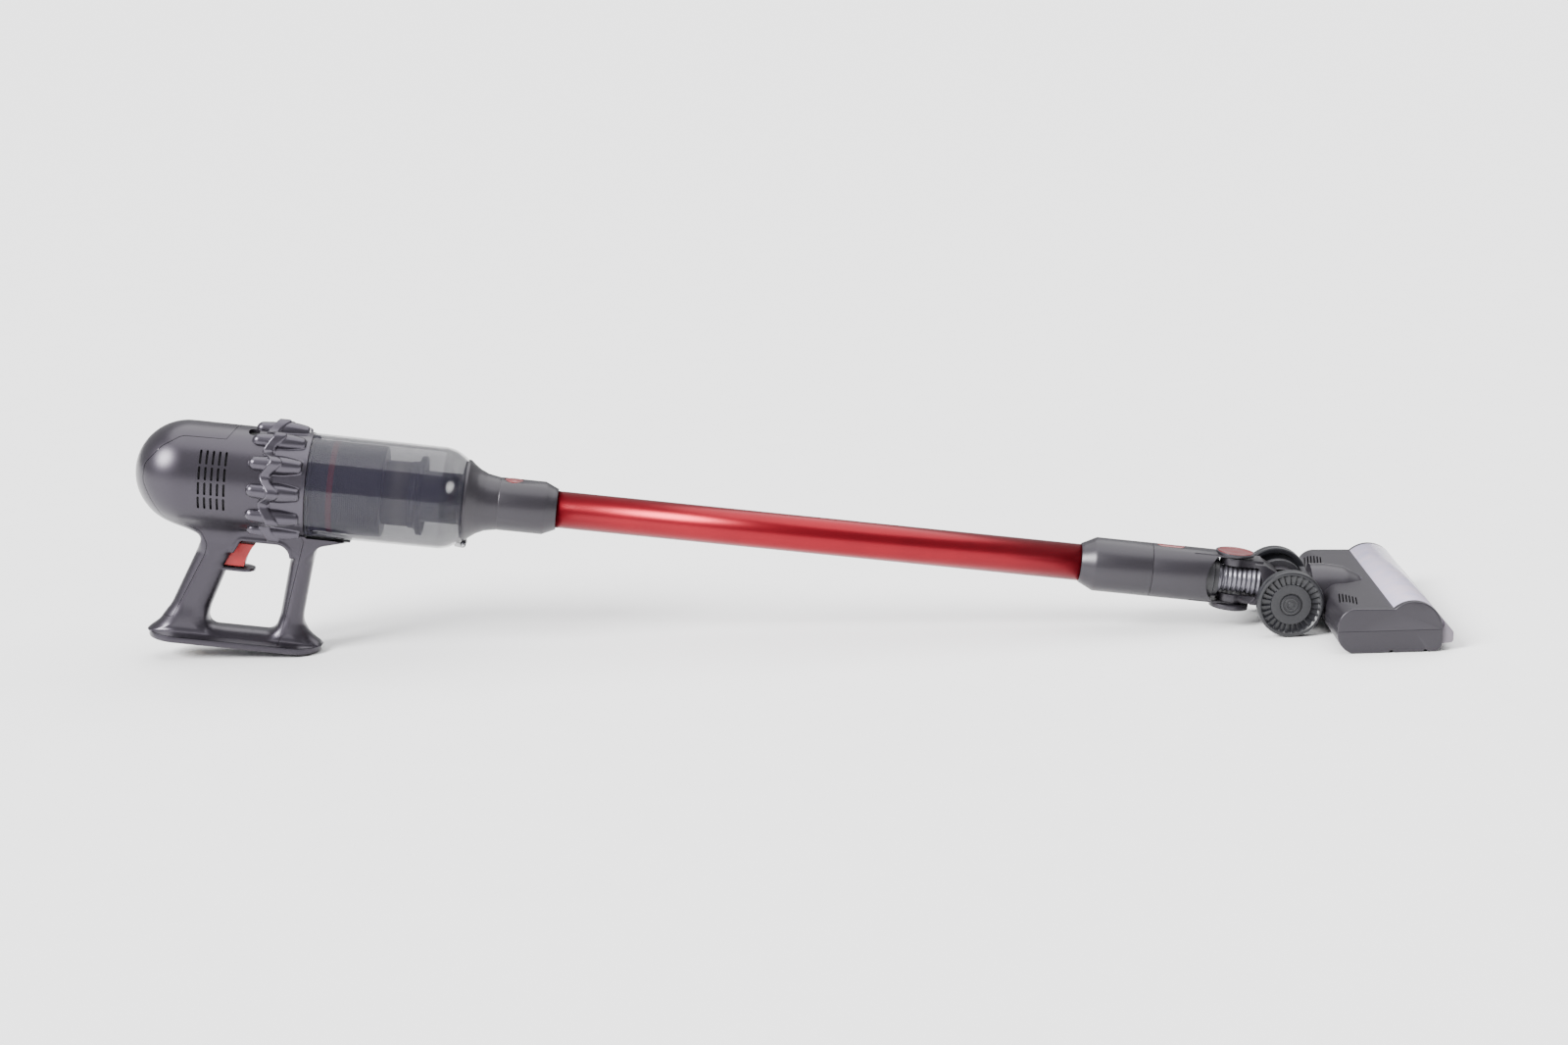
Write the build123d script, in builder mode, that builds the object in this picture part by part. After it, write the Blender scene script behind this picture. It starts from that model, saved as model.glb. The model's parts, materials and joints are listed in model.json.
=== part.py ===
"""Cordless stick vacuum: hand unit, wand and powered floor head.

The hand unit, the wand and the neck are drawn in the tube's own frame: X runs along the tube from the
rear tip of the dome towards the floor head, Z is square to the tube and Y is across. That frame is then
tilted and lifted into the part's frame, where the floor is Z = 0. The floor head and its wheels are drawn
straight in the part's frame. All sizes are in millimetres.
"""

import os
from math import cos, radians, sin

from build123d import *

os.makedirs("parts", exist_ok=True)

# How the tube lies in the part's frame.
TILT = 7.62
TIP_X = -608.53
TIP_Z = 183.1
TUBE = Location((TIP_X, 0, TIP_Z), (0, TILT, 0))

# Hand unit.
WALL = 2.2
BODY_R = 49.4
BODY_END = 124.0
CROWN_R = 49.2
BIN_REAR = 164.0
BIN_R = 48.8
BIN_TAPER = 290.0
BIN_FRONT = 310.3
LID_R = 38.5
COUPLING_REAR = 342.0
COUPLING_FRONT = 396.5
COUPLING_R = 25.0
HANDLE_HALF = 16.0
BASE_HALF = 27.0
BASE_TOP = -154.4
BASE_BOTTOM = -160.2
TRIGGER_HALF = 8.0
RUNNER_REAR = 164.5
RUNNER_R = 51.2
CYCLONES = 12
CYCLONE_AXIS = 49.5

# Wand, a standard 35 mm tube.
WAND_R = 17.5
WAND_BORE = 15.8
WAND_REAR = 352.0
WAND_FRONT = 936.0
SLIDE_GAP = 0.3
FRONT_COUPLING_REAR = 893.1
CONNECTOR_R = 25.5
CONNECTOR_SEAM = 960.6
PIVOT = 1039.4
AXLE_U = 1088.4
AXLE_W = -7.5

# Floor head, in the part's frame.
AXLE_X = TIP_X + AXLE_U * cos(radians(TILT)) + AXLE_W * sin(radians(TILT))
AXLE_Z = TIP_Z - AXLE_U * sin(radians(TILT)) + AXLE_W * cos(radians(TILT))
WHEEL_R = AXLE_Z
BRUSH_X = TIP_X + 1180.0
BRUSH_Z = 21.0
HOUSING_R = 26.6
HEAD_HALF = 118.0
CAP_THICK = 6.0
SEAM_Z = 20.7
NOSE_Z = 31.0
NOSE_REAR = AXLE_X + 26.0
RUN_FIT = 0.05


def save(piece, name, place=Location()):
    """Put a finished piece in the part's frame, label it and write it."""
    placed = piece.part.moved(place)
    placed.label = name
    export_step(placed, f"parts/{name}.step")


def turned(*points):
    """A solid turned about the tube's axis from (station, radius) points."""
    with BuildPart() as piece:
        with BuildSketch(Plane.XZ):
            with BuildLine():
                Polyline(*points, close=True)
            make_face()
        revolve(axis=Axis.X)
    return piece


def tube(start, end, outer, inner):
    """A plain tube along the axis."""
    return turned((start, inner), (start, outer), (end, outer), (end, inner))


def side_plate(points, corner_radii, half_width, centre=0.0):
    """A side outline with rounded corners, thickened across the part."""
    with BuildPart() as piece:
        with BuildSketch(Plane.XZ.offset(-centre)):
            with BuildLine():
                FilletPolyline(*points, radius=corner_radii, close=True)
            make_face()
        extrude(amount=half_width, both=True)
    return piece


def cross_disc(x, z, radius, start, end):
    """A disc or pin whose axis runs across the part, between two stations of Y."""
    with BuildPart() as piece:
        with BuildSketch(Plane.XZ.offset(-start)):
            with Locations((x, z)):
                Circle(radius)
        extrude(amount=start - end)
    return piece


def upright_disc(x, radius, low, high):
    """A disc or pin square to the tube, standing on the pivot or a button station."""
    with BuildPart() as piece:
        with BuildSketch(Plane.XY.offset(low)):
            with Locations((x, 0)):
                Circle(radius)
        extrude(amount=high - low)
    return piece


# ---------------------------------------------------------------- hand unit housing
# The side outline of the handle frame: rear leg, beam under the body, front leg, foot.
FRAME_OUTLINE = [
    (44, -40),
    (68, -57),
    (36, -142),
    (24, -152),
    (23, BASE_TOP),
    (184, BASE_TOP),
    (184, -152),
    (165, -141),
    (174, -58),
    (203, -50),
    (203, -47.5),
    (160, -44),
]
FRAME_RADII = [0, 9, 26, 3, 0, 0, 3, 14, 10, 0, 0, 0]
FINGER_GAP = [
    (104, -58),
    (152, -58),
    (143, -146.5),
    (72, -146.5),
    (91, -87.6),
    (117.5, -87.6),
    (117.5, -85),
    (91, -85),
]
FINGER_RADII = [2, 13, 12, 10, 1, 1.2, 1.2, 0]

frame_plate = side_plate(FRAME_OUTLINE, FRAME_RADII, HANDLE_HALF)
finger_gap = side_plate(FINGER_GAP, FINGER_RADII, BASE_HALF + 5)


# The seam of the spine cover, seen from the side: over the dome and down the handle's back.
SPINE_OUTSIDE = [
    (86, 41),
    (45, 40.6),
    (28, 30),
    (13, 11.9),
    (12, -4),
    (19, -18),
    (32, -39),
    (46, -44),
    (66, -50),
    (73, -64),
    (71.5, -74),
    (45, -137.5),
    (0, -140),
    (-10, 0),
    (0, 70),
    (110, 70),
]
SPINE_RADII = [0, 16, 20, 16, 14, 20, 14, 12, 8, 8, 20, 0, 0, 0, 0, 0]
STRUT_OUTSIDE = [(160, -47.3), (163, -52.5), (158.2, -83.6), (145.5, BASE_TOP), (200, BASE_TOP), (210, -47.3)]

with BuildPart() as dome_form:
    with BuildSketch(Plane.XZ):
        with BuildLine():
            CenterArc((BODY_R, 0), BODY_R, 90, 90)
            Polyline((0, 0), (BODY_END, 0), (BODY_END, BODY_R), (BODY_R, BODY_R))
        make_face()
    revolve(axis=Axis.X)

with BuildPart() as dome_room:
    with BuildSketch(Plane.XZ):
        with BuildLine():
            CenterArc((BODY_R, 0), BODY_R - WALL, 90, 90)
            Polyline((WALL, 0), (BODY_END, 0), (BODY_END, BODY_R - WALL), (BODY_R, BODY_R - WALL))
        make_face()
    revolve(axis=Axis.X)

with BuildPart() as foot_form:
    with BuildSketch(Plane.XY.offset(BASE_BOTTOM)):
        with Locations((103.5, 0)):
            SlotOverall(163, 2 * BASE_HALF)
    extrude(amount=BASE_TOP - BASE_BOTTOM)

with BuildPart() as foot_flare:
    with BuildSketch(Plane.XY.offset(BASE_TOP)):
        with Locations((103.5, 0)):
            SlotOverall(163, 2 * BASE_HALF)
    with BuildSketch(Plane.XY.offset(BASE_TOP + 5)):
        with Locations((103.5, 0)):
            SlotOverall(152, 2 * BASE_HALF - 10)
    with BuildSketch(Plane.XY.offset(BASE_TOP + 10)):
        with Locations((103.5, 0)):
            SlotOverall(144, 2 * HANDLE_HALF + 4)
    loft(ruled=True)

# The whole housing before it is parted: dome, frame and flared foot, with room for what it holds.
with BuildPart() as housing:
    add(dome_form.part)
    add(frame_plate.part)
    add(foot_flare.part)
    add(finger_gap.part, mode=Mode.SUBTRACT)
    add(dome_room.part, mode=Mode.SUBTRACT)
    # The bin and the crown sit in the space over the front leg.
    with BuildSketch(Plane.YZ.offset(BODY_END)):
        Circle(BODY_R + SLIDE_GAP)
    extrude(amount=100, mode=Mode.SUBTRACT)
    with BuildSketch(Plane.YZ.offset(RUNNER_REAR - SLIDE_GAP)):
        Circle(RUNNER_R + 0.1)
    extrude(amount=60, mode=Mode.SUBTRACT)
    # Room for the trigger and its spring inside the rear leg.
    with BuildSketch(Plane.XZ):
        with BuildLine():
            Polyline((74, -61), (104, -61), (104, -85), (74, -85), close=True)
        make_face()
    extrude(amount=TRIGGER_HALF + 0.6, both=True, mode=Mode.SUBTRACT)
    # Exhaust slots in both sides.
    with BuildSketch(Plane.XZ):
        with GridLocations(5.9, 14.2, 5, 4):
            with Locations((78, 4)):
                SlotOverall(12, 1.8, rotation=90)
    extrude(amount=BODY_R + 5, both=True, mode=Mode.SUBTRACT)

with BuildPart() as spine_prism:
    with BuildSketch(Plane.XZ):
        with BuildLine():
            FilletPolyline(*SPINE_OUTSIDE, radius=SPINE_RADII, close=True)
        make_face()
    extrude(amount=70, both=True)

with BuildPart() as strut_prism:
    with BuildSketch(Plane.XZ):
        with BuildLine():
            Polyline(*STRUT_OUTSIDE, close=True)
        make_face()
    extrude(amount=70, both=True)

with BuildPart() as spine_cover:
    add(housing.part)
    add(spine_prism.part, mode=Mode.INTERSECT)
save(spine_cover, "spine_cover", TUBE)

with BuildPart() as front_strut:
    add(housing.part)
    add(strut_prism.part, mode=Mode.INTERSECT)
save(front_strut, "front_strut", TUBE)

with BuildPart() as body_shells:
    add(housing.part)
    add(spine_prism.part, mode=Mode.SUBTRACT)
    add(strut_prism.part, mode=Mode.SUBTRACT)

with BuildPart() as body_shell_left:
    add(body_shells.part)
    split(bisect_by=Plane.XZ, keep=Keep.BOTTOM)
save(body_shell_left, "body_shell_left", TUBE)

with BuildPart() as body_shell_right:
    add(body_shells.part)
    split(bisect_by=Plane.XZ, keep=Keep.TOP)
save(body_shell_right, "body_shell_right", TUBE)

# Base plate with a recess for each charging contact and each screw head.
SCREW_SPOTS = [(34, 0), (176, 0)]
with BuildPart() as base_plate:
    add(foot_form.part)
    fillet(base_plate.faces().sort_by(Axis.Z)[0].edges(), 1.5)
    with BuildSketch(Plane.XY.offset(BASE_BOTTOM)):
        with Locations((60, 0)):
            with GridLocations(0, 12, 1, 3):
                SlotOverall(14, 6)
        with Locations(*SCREW_SPOTS):
            Circle(3.2)
    extrude(amount=2, mode=Mode.SUBTRACT)
save(base_plate, "base_plate", TUBE)

with BuildPart() as charging_contacts:
    with BuildSketch(Plane.XY.offset(BASE_BOTTOM + 0.8)):
        with Locations((60, 0)):
            with GridLocations(0, 12, 1, 3):
                SlotOverall(14, 6)
    extrude(amount=1.2)
save(charging_contacts, "charging_contacts", TUBE)

with BuildPart() as housing_screws:
    with BuildSketch(Plane.XY.offset(BASE_BOTTOM + 0.6)):
        with Locations(*SCREW_SPOTS):
            Circle(3.1)
    extrude(amount=1.4)
save(housing_screws, "housing_screws", TUBE)

# ---------------------------------------------------------------- trigger
with BuildPart() as trigger:
    with BuildSketch(Plane.XZ):
        with BuildLine():
            Polyline((107.5, -84), (88, -84), (88, -70), (98, -62), (116.5, -62))
            ThreePointArc((116.5, -62), (110.4, -73), (107.5, -84))
        make_face()
    extrude(amount=TRIGGER_HALF, both=True)
    # A socket in its back for the spring.
    with BuildSketch(Plane.YZ.offset(88)):
        with Locations((0, -76)):
            Circle(3.2)
    extrude(amount=6, mode=Mode.SUBTRACT)
save(trigger, "trigger", TUBE)

with BuildPart() as trigger_spring:
    with BuildLine():
        spring_path = Helix(pitch=2.6, height=18, radius=2.2, center=(75, 0, -76), direction=(1, 0, 0))
    with BuildSketch(Plane(origin=spring_path @ 0, z_dir=spring_path % 0)):
        Circle(0.35)
    sweep(path=spring_path)
save(trigger_spring, "trigger_spring", TUBE)

with BuildPart() as trigger_switch:
    with BuildSketch(Plane.XZ):
        with Locations((78, -66)):
            RectangleRounded(7, 8, 0.8)
    extrude(amount=5, both=True)
    with BuildSketch(Plane.YZ.offset(81.5)):
        with Locations((0, -66)):
            Circle(1.2)
    extrude(amount=1.2)
save(trigger_switch, "trigger_switch", TUBE)

# ---------------------------------------------------------------- motor, battery and filters
CELL_R = 9.1
CELL_LONG = 65.0
CELL_PITCH = 18.8
CELLS_U = 45.5
with BuildPart() as battery_cells:
    with BuildSketch(Plane.XZ.offset(-CELL_LONG / 2)):
        with Locations((CELLS_U, 0)):
            with GridLocations(CELL_PITCH, CELL_PITCH, 3, 2):
                Circle(CELL_R)
    extrude(amount=CELL_LONG)
save(battery_cells, "battery_cells", TUBE)

with BuildPart() as battery_holder:
    with BuildSketch(Plane.XZ.offset(-27)):
        with Locations((CELLS_U, 0)):
            RectangleRounded(3 * CELL_PITCH + 1, 2 * CELL_PITCH + 1, 9)
            with GridLocations(CELL_PITCH, CELL_PITCH, 3, 2):
                Circle(CELL_R, mode=Mode.SUBTRACT)
    extrude(amount=3)
    mirror(about=Plane.XZ)
save(battery_holder, "battery_holder", TUBE)

MOTOR_REAR = 92.0
MOTOR_FRONT = 128.0
control_board = tube(75.2, 76.8, 40, 8)
save(control_board, "control_board", TUBE)
exhaust_filter = tube(78, 102, 45, 32)
save(exhaust_filter, "exhaust_filter", TUBE)
motor_can = turned(
    (MOTOR_REAR, 6), (MOTOR_REAR, 24), (MOTOR_FRONT, 24), (MOTOR_FRONT, 6),
    (MOTOR_FRONT - 2, 6), (MOTOR_FRONT - 2, 22), (MOTOR_REAR + 2, 22), (MOTOR_REAR + 2, 6),
)
save(motor_can, "motor_can", TUBE)
motor_stator = tube(102, 118, 21.8, 13)
save(motor_stator, "motor_stator", TUBE)
with BuildPart() as motor_bearings:
    add(tube(MOTOR_REAR - 0.5, MOTOR_REAR + 4.5, 6, 2.5 + RUN_FIT).part)
    add(tube(MOTOR_FRONT - 4.5, MOTOR_FRONT + 0.5, 6, 2.5 + RUN_FIT).part)
save(motor_bearings, "motor_bearings", TUBE)
motor_shaft = turned(
    (88, 0), (88, 2.5), (103, 2.5), (103, 12), (117, 12), (117, 2.5), (145, 2.5), (145, 0)
)
save(motor_shaft, "motor_shaft", TUBE)
with BuildPart() as impeller:
    add(turned((131, 2.5), (131, 22), (132.5, 22), (134, 12), (142, 6), (142, 2.5)).part)
    with BuildSketch(Plane.YZ.offset(132)):
        with PolarLocations(13.5, 9):
            Rectangle(13, 1.2, rotation=24)
    extrude(amount=5)
save(impeller, "impeller", TUBE)
pre_motor_filter = tube(147, 157, 29, 10)
save(pre_motor_filter, "pre_motor_filter", TUBE)

# ---------------------------------------------------------------- cyclone crown
with BuildPart() as cyclone_pair:
    # Blunt nose towards the dome, band section, and the front cone towards the bin.
    with BuildSketch(Plane.YZ.offset(106)):
        with Locations((0, 46)):
            Circle(3.5)
    with BuildSketch(Plane.YZ.offset(110)):
        with Locations((0, 46.6)):
            Circle(6)
    with BuildSketch(Plane.YZ.offset(130)):
        with Locations((0, CYCLONE_AXIS)):
            Circle(8.4)
    loft(ruled=True)
    with BuildSketch(Plane.YZ.offset(130)):
        with Locations((0, CYCLONE_AXIS + 0.8)):
            Circle(9.8)
    extrude(amount=12)
    with BuildSketch(Plane.YZ.offset(142)):
        with Locations((0, CYCLONE_AXIS)):
            Circle(8.4)
    with BuildSketch(Plane.YZ.offset(158)):
        with Locations((0, 45)):
            Circle(5)
    loft(ruled=True)

with BuildPart() as cyclone_crown:
    add(tube(BODY_END, BIN_REAR, CROWN_R, 31).part)
    add(tube(BODY_END, 134, 52.5, 45).part)
    add([cyclone_pair.part.rotate(Axis.X, 360 / CYCLONES * number) for number in range(CYCLONES)])
    add(tube(BODY_END + WALL, BIN_REAR - WALL, CROWN_R - WALL, 33).part, mode=Mode.SUBTRACT)
    # The noses lie on the body shells, and the underside leaves room for the beam and the runner.
    add(turned((100, 0), (100, BODY_R), (BODY_END, BODY_R), (BODY_END, 0)).part, mode=Mode.SUBTRACT)
    add(turned((BODY_END, 0), (BODY_END, 31), (170, 31), (170, 0)).part, mode=Mode.SUBTRACT)
    with BuildSketch(Plane.XZ):
        with BuildLine():
            Polyline((100, -46.5), (190, -46.5), (190, -75), (100, -75), close=True)
        make_face()
    extrude(amount=30, both=True, mode=Mode.SUBTRACT)
save(cyclone_crown, "cyclone_crown", TUBE)

# ---------------------------------------------------------------- separator inside the bin
SHROUD_R = 43.0
cyclone_shroud = turned(
    (BIN_REAR, 30), (BIN_REAR, SHROUD_R), (234, SHROUD_R), (234, 24.2), (232, 24.2), (232, SHROUD_R - 2),
    (BIN_REAR + 2, SHROUD_R - 2), (BIN_REAR + 2, 30),
)
save(cyclone_shroud, "cyclone_shroud", TUBE)
red_seal_band = tube(184, 188.6, SHROUD_R + 0.9, SHROUD_R)
save(red_seal_band, "red_seal_band", TUBE)
mesh_screen = tube(234, 258, 30.5, 29.3)
save(mesh_screen, "mesh_screen", TUBE)
shroud_skirt = turned(
    (258, 24.2), (258, 31.5), (263, 31.5), (265, 33), (266.5, 37.5), (271.5, 37.5), (271.5, 36), (268, 31), (268, 24.2)
)
save(shroud_skirt, "shroud_skirt", TUBE)
inlet_duct = turned((190, 21), (190, 24), (303, 24), (303, 21))
save(inlet_duct, "inlet_duct", TUBE)

# ---------------------------------------------------------------- dust bin and its runner
def under_bin(start, end, half):
    """A curved strip that lies under the bin."""
    with BuildPart() as strip:
        add(tube(start, end, RUNNER_R, BIN_R + SLIDE_GAP).part)
        with BuildSketch(Plane.YZ.offset(start)):
            with Locations((0, -50)):
                Rectangle(2 * half, 12)
        extrude(amount=end - start, mode=Mode.INTERSECT)
    return strip


save(under_bin(RUNNER_REAR, 191.5, 10), "bin_runner", TUBE)
save(under_bin(191.8, 205.5, 8), "bin_catch", TUBE)

BIN_WALL = 1.8
HINGE_U = 311.5
HINGE_W = -41.6
with BuildPart() as dust_bin:
    with BuildSketch(Plane.XZ):
        with BuildLine():
            Polyline((BIN_TAPER, 48), (BIN_REAR + SLIDE_GAP, BIN_R), (BIN_REAR + SLIDE_GAP, BIN_R - BIN_WALL),
                     (BIN_TAPER, 48 - BIN_WALL))
            ThreePointArc((BIN_TAPER, 48), (303, 45), (310, 38.6))
            ThreePointArc((BIN_TAPER, 48 - BIN_WALL), (302, 43.5), (308.4, 37))
            Polyline((310, 38.6), (310, 37), (308.4, 37))
        make_face()
    revolve(axis=Axis.X)
    for side in (-1, 1):
        add(cross_disc(HINGE_U, HINGE_W, 2.8, side * 5, side * 9).part)
        with BuildSketch(Plane.XZ.offset(-side * 5)):
            with BuildLine():
                Polyline((HINGE_U, HINGE_W - 2.8), (HINGE_U - 8, HINGE_W - 2.4), (HINGE_U - 8, HINGE_W + 0.5),
                         (HINGE_U - 1.9, HINGE_W + 1), close=True)
            make_face()
        extrude(amount=-side * 4)
    add(cross_disc(HINGE_U, HINGE_W, 1.5, -10, 10).part, mode=Mode.SUBTRACT)
save(dust_bin, "dust_bin", TUBE)

save(tube(165, 168, BIN_R - BIN_WALL - 0.1, 44.4), "bin_seal", TUBE)
save(cross_disc(HINGE_U, HINGE_W, 1.5, -9.2, 9.2), "lid_hinge_pin", TUBE)

# ---------------------------------------------------------------- bin lid with the rear wand coupling
with BuildPart() as bin_lid:
    add(turned(
        (BIN_FRONT, 21), (BIN_FRONT, LID_R), (312.5, 38.2), (316, 35), (322, 30.6), (330, 27), (COUPLING_REAR, 24.8),
        (COUPLING_REAR, 22.2), (331, 24.2), (323, 27.8), (317, 32), (312.8, 35), (312.8, 21),
    ).part)
    add(cross_disc(HINGE_U, HINGE_W, 2.7, -4.7, 4.7).part)
    with BuildSketch(Plane.XZ):
        with BuildLine():
            Polyline((HINGE_U - 1, HINGE_W + 1), (HINGE_U + 2.6, HINGE_W), (HINGE_U + 2.6, HINGE_W + 5),
                     (HINGE_U - 1, HINGE_W + 5), close=True)
        make_face()
    extrude(amount=4.7, both=True)
    add(cross_disc(HINGE_U, HINGE_W, 1.5 + RUN_FIT, -10, 10).part, mode=Mode.SUBTRACT)
save(bin_lid, "bin_lid", TUBE)

# One seal for the bin's mouth and one for the inlet duct, as two separate rings.
with BuildPart() as lid_seals:
    add(tube(307.5, BIN_FRONT, 36.4, 34.4).part)
    add(tube(303.5, BIN_FRONT, 24, 21).part)
save(lid_seals, "lid_seals", TUBE)

BUTTON_U = 354.0
BUTTON_R = 9.2
with BuildPart() as rear_coupling:
    add(turned(
        (COUPLING_REAR, WAND_BORE), (COUPLING_REAR, 24.8), (343, COUPLING_R), (384, COUPLING_R),
        (COUPLING_FRONT, 19.4), (COUPLING_FRONT, WAND_R + SLIDE_GAP), (WAND_REAR, WAND_R + SLIDE_GAP),
        (WAND_REAR, WAND_BORE),
    ).part)
    with BuildSketch(Plane.XY.offset(18.8)):
        with Locations((BUTTON_U, 0)):
            Circle(BUTTON_R + SLIDE_GAP)
    extrude(amount=10, mode=Mode.SUBTRACT)
save(rear_coupling, "rear_coupling", TUBE)

with BuildPart() as wand_release_button:
    add(upright_disc(BUTTON_U, BUTTON_R, 21.6, 25.0).part)
    fillet(wand_release_button.edges().sort_by(Axis.Z)[-1], 1.0)
save(wand_release_button, "wand_release_button", TUBE)


def button_spring(x, low, high):
    """A short compression spring standing under a push button."""
    with BuildPart() as piece:
        with BuildLine():
            path = Helix(pitch=0.9, height=high - low, radius=3, center=(x, 0, low))
        with BuildSketch(Plane(origin=path @ 0, z_dir=path % 0)):
            Circle(0.2)
        sweep(path=path)
    return piece


save(button_spring(BUTTON_U, 19.1, 21.3), "wand_button_spring", TUBE)

# ---------------------------------------------------------------- wand
save(tube(WAND_REAR + SLIDE_GAP, WAND_FRONT, WAND_R, WAND_BORE), "wand_tube", TUBE)
save(turned(
    (FRONT_COUPLING_REAR, WAND_R), (FRONT_COUPLING_REAR + 0.5, 18.5), (907.7, CONNECTOR_R),
    (CONNECTOR_SEAM - SLIDE_GAP, CONNECTOR_R), (CONNECTOR_SEAM - SLIDE_GAP, WAND_R + SLIDE_GAP),
    (WAND_FRONT + 0.5, WAND_R + SLIDE_GAP), (WAND_FRONT + 0.5, WAND_R),
), "front_coupling", TUBE)

# ---------------------------------------------------------------- floor-head connector and swivel
HEAD_BUTTON_U = 978.0
ARM_LOW = 21.3
ARM_HIGH = 23.3
EAR_LOW = 14.0
EAR_HIGH = 21.0
with BuildPart() as head_connector:
    add(turned(
        (WAND_FRONT + 2, 15), (WAND_FRONT + 2, WAND_R), (CONNECTOR_SEAM, WAND_R), (CONNECTOR_SEAM, CONNECTOR_R),
        (PIVOT, CONNECTOR_R), (PIVOT, 23), (994, 23), (994, 17.5), (CONNECTOR_SEAM + 3, 15),
    ).part)
    add(cross_disc(PIVOT, 0, 28, -40, 40).part, mode=Mode.SUBTRACT)
    add(upright_disc(PIVOT, 19, ARM_HIGH, 30).part, mode=Mode.SUBTRACT)
    add(upright_disc(PIVOT, 19, -30, -ARM_HIGH).part, mode=Mode.SUBTRACT)
    with BuildSketch(Plane.XY.offset(ARM_LOW)):
        with Locations((PIVOT - 20, 0)):
            Rectangle(40, 24)
        with Locations((PIVOT, 0)):
            Circle(12)
            Circle(6 + RUN_FIT, mode=Mode.SUBTRACT)
    extrude(amount=ARM_HIGH - ARM_LOW)
    with BuildSketch(Plane.XY.offset(-ARM_HIGH)):
        with Locations((PIVOT - 20, 0)):
            Rectangle(40, 24)
        with Locations((PIVOT, 0)):
            Circle(12)
            Circle(6 + RUN_FIT, mode=Mode.SUBTRACT)
    extrude(amount=ARM_HIGH - ARM_LOW)
    with BuildSketch(Plane.XY.offset(19.2)):
        with Locations((HEAD_BUTTON_U, 0)):
            SlotOverall(26.6, 11.6)
    extrude(amount=10, mode=Mode.SUBTRACT)
save(head_connector, "head_connector", TUBE)

with BuildPart() as head_release_button:
    with BuildSketch(Plane.XY.offset(22)):
        with Locations((HEAD_BUTTON_U, 0)):
            SlotOverall(26, 11)
    extrude(amount=5)
    add(tube(HEAD_BUTTON_U - 20, HEAD_BUTTON_U + 20, CONNECTOR_R, 10).part, mode=Mode.INTERSECT)
save(head_release_button, "head_release_button", TUBE)
save(button_spring(HEAD_BUTTON_U, 19.5, 21.7), "head_button_spring", TUBE)

save(turned(
    (998, 11), (998, 16.8), (1012, 16.8), (1024, 13.2), (1050, 13.2), (1057, 15.2), (1066, 15.2), (1066, 11)
), "swivel_hose", TUBE)

with BuildPart() as swivel_neck:
    with BuildSketch(Plane.XZ):
        with BuildLine():
            Polyline((1048, -20), (1048, 19.3), (1066, 19), (1080, 12), (AXLE_U, 0), (AXLE_U, -20), close=True)
        make_face()
        with Locations((AXLE_U, AXLE_W)):
            Circle(19.5)
    extrude(amount=19.5, both=True)
    add(cross_disc(PIVOT, 0, 26, -40, 40).part, mode=Mode.SUBTRACT)
    for level in (EAR_LOW, -EAR_HIGH):
        with BuildSketch(Plane.XY.offset(level)):
            with Locations((PIVOT + 13, 0)):
                Rectangle(26, 24)
            with Locations((PIVOT, 0)):
                Circle(13.5)
        extrude(amount=EAR_HIGH - EAR_LOW)
    with BuildSketch(Plane.YZ.offset(1050)):
        Circle(12.5)
    extrude(amount=80, mode=Mode.SUBTRACT)
    with BuildSketch(Plane.YZ.offset(1050)):
        Circle(16)
    extrude(amount=17, mode=Mode.SUBTRACT)
    add(cross_disc(AXLE_U, AXLE_W, 4 + RUN_FIT, -40, 40).part, mode=Mode.SUBTRACT)
save(swivel_neck, "swivel_neck", TUBE)

# The two pivot pins with their caps, one above and one below the hose.
with BuildPart() as swivel_caps:
    add(upright_disc(PIVOT, 6, EAR_HIGH, 23.6).part)
    add(upright_disc(PIVOT, 18.5, 23.6, 25.8).part)
    add(upright_disc(PIVOT, 6, -23.6, -EAR_HIGH).part)
    add(upright_disc(PIVOT, 18.5, -28, -23.6).part)
save(swivel_caps, "swivel_caps", TUBE)
save(upright_disc(PIVOT, 16.75, 25.8, 26.4), "swivel_lens", TUBE)

# ---------------------------------------------------------------- wheels and their carriage
AXLE = Axis((AXLE_X, 0, AXLE_Z), (0, 1, 0))
AXLE_SECTION = Plane(origin=(AXLE_X, 0, AXLE_Z), x_dir=(0, 1, 0), z_dir=(1, 0, 0))


def turned_on_axle(*points):
    """A solid turned about the axle from (station, radius) points on the left side."""
    with BuildPart() as piece:
        with BuildSketch(AXLE_SECTION):
            with BuildLine():
                Polyline(*points, close=True)
            make_face()
        revolve(axis=AXLE)
    return piece


def mirrored(piece):
    """The same piece on the right-hand side."""
    with BuildPart() as other:
        add(piece.part.mirror(Plane.XZ))
    return other


# Each wheel is one moulding: dished inside, closed outside by its hub cap.
wheel_left = turned_on_axle(
    (43, 4 + RUN_FIT), (43, 9), (48, 9), (48, 26), (43, 26.5), (43, WHEEL_R - 1.5), (44.5, WHEEL_R),
    (53.5, WHEEL_R), (55, WHEEL_R - 2.5), (54.6, 19), (54.6, 10), (55.6, 9), (55.6, 0), (53.2, 0),
    (53.2, 4 + RUN_FIT),
)
save(wheel_left, "wheel_left")
save(mirrored(wheel_left), "wheel_right")

with BuildPart() as stub_axles:
    add(turned_on_axle((14, 0), (14, 4), (53, 4), (53, 0)).part)
    mirror(about=Plane.XZ)
save(stub_axles, "stub_axles")

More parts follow.
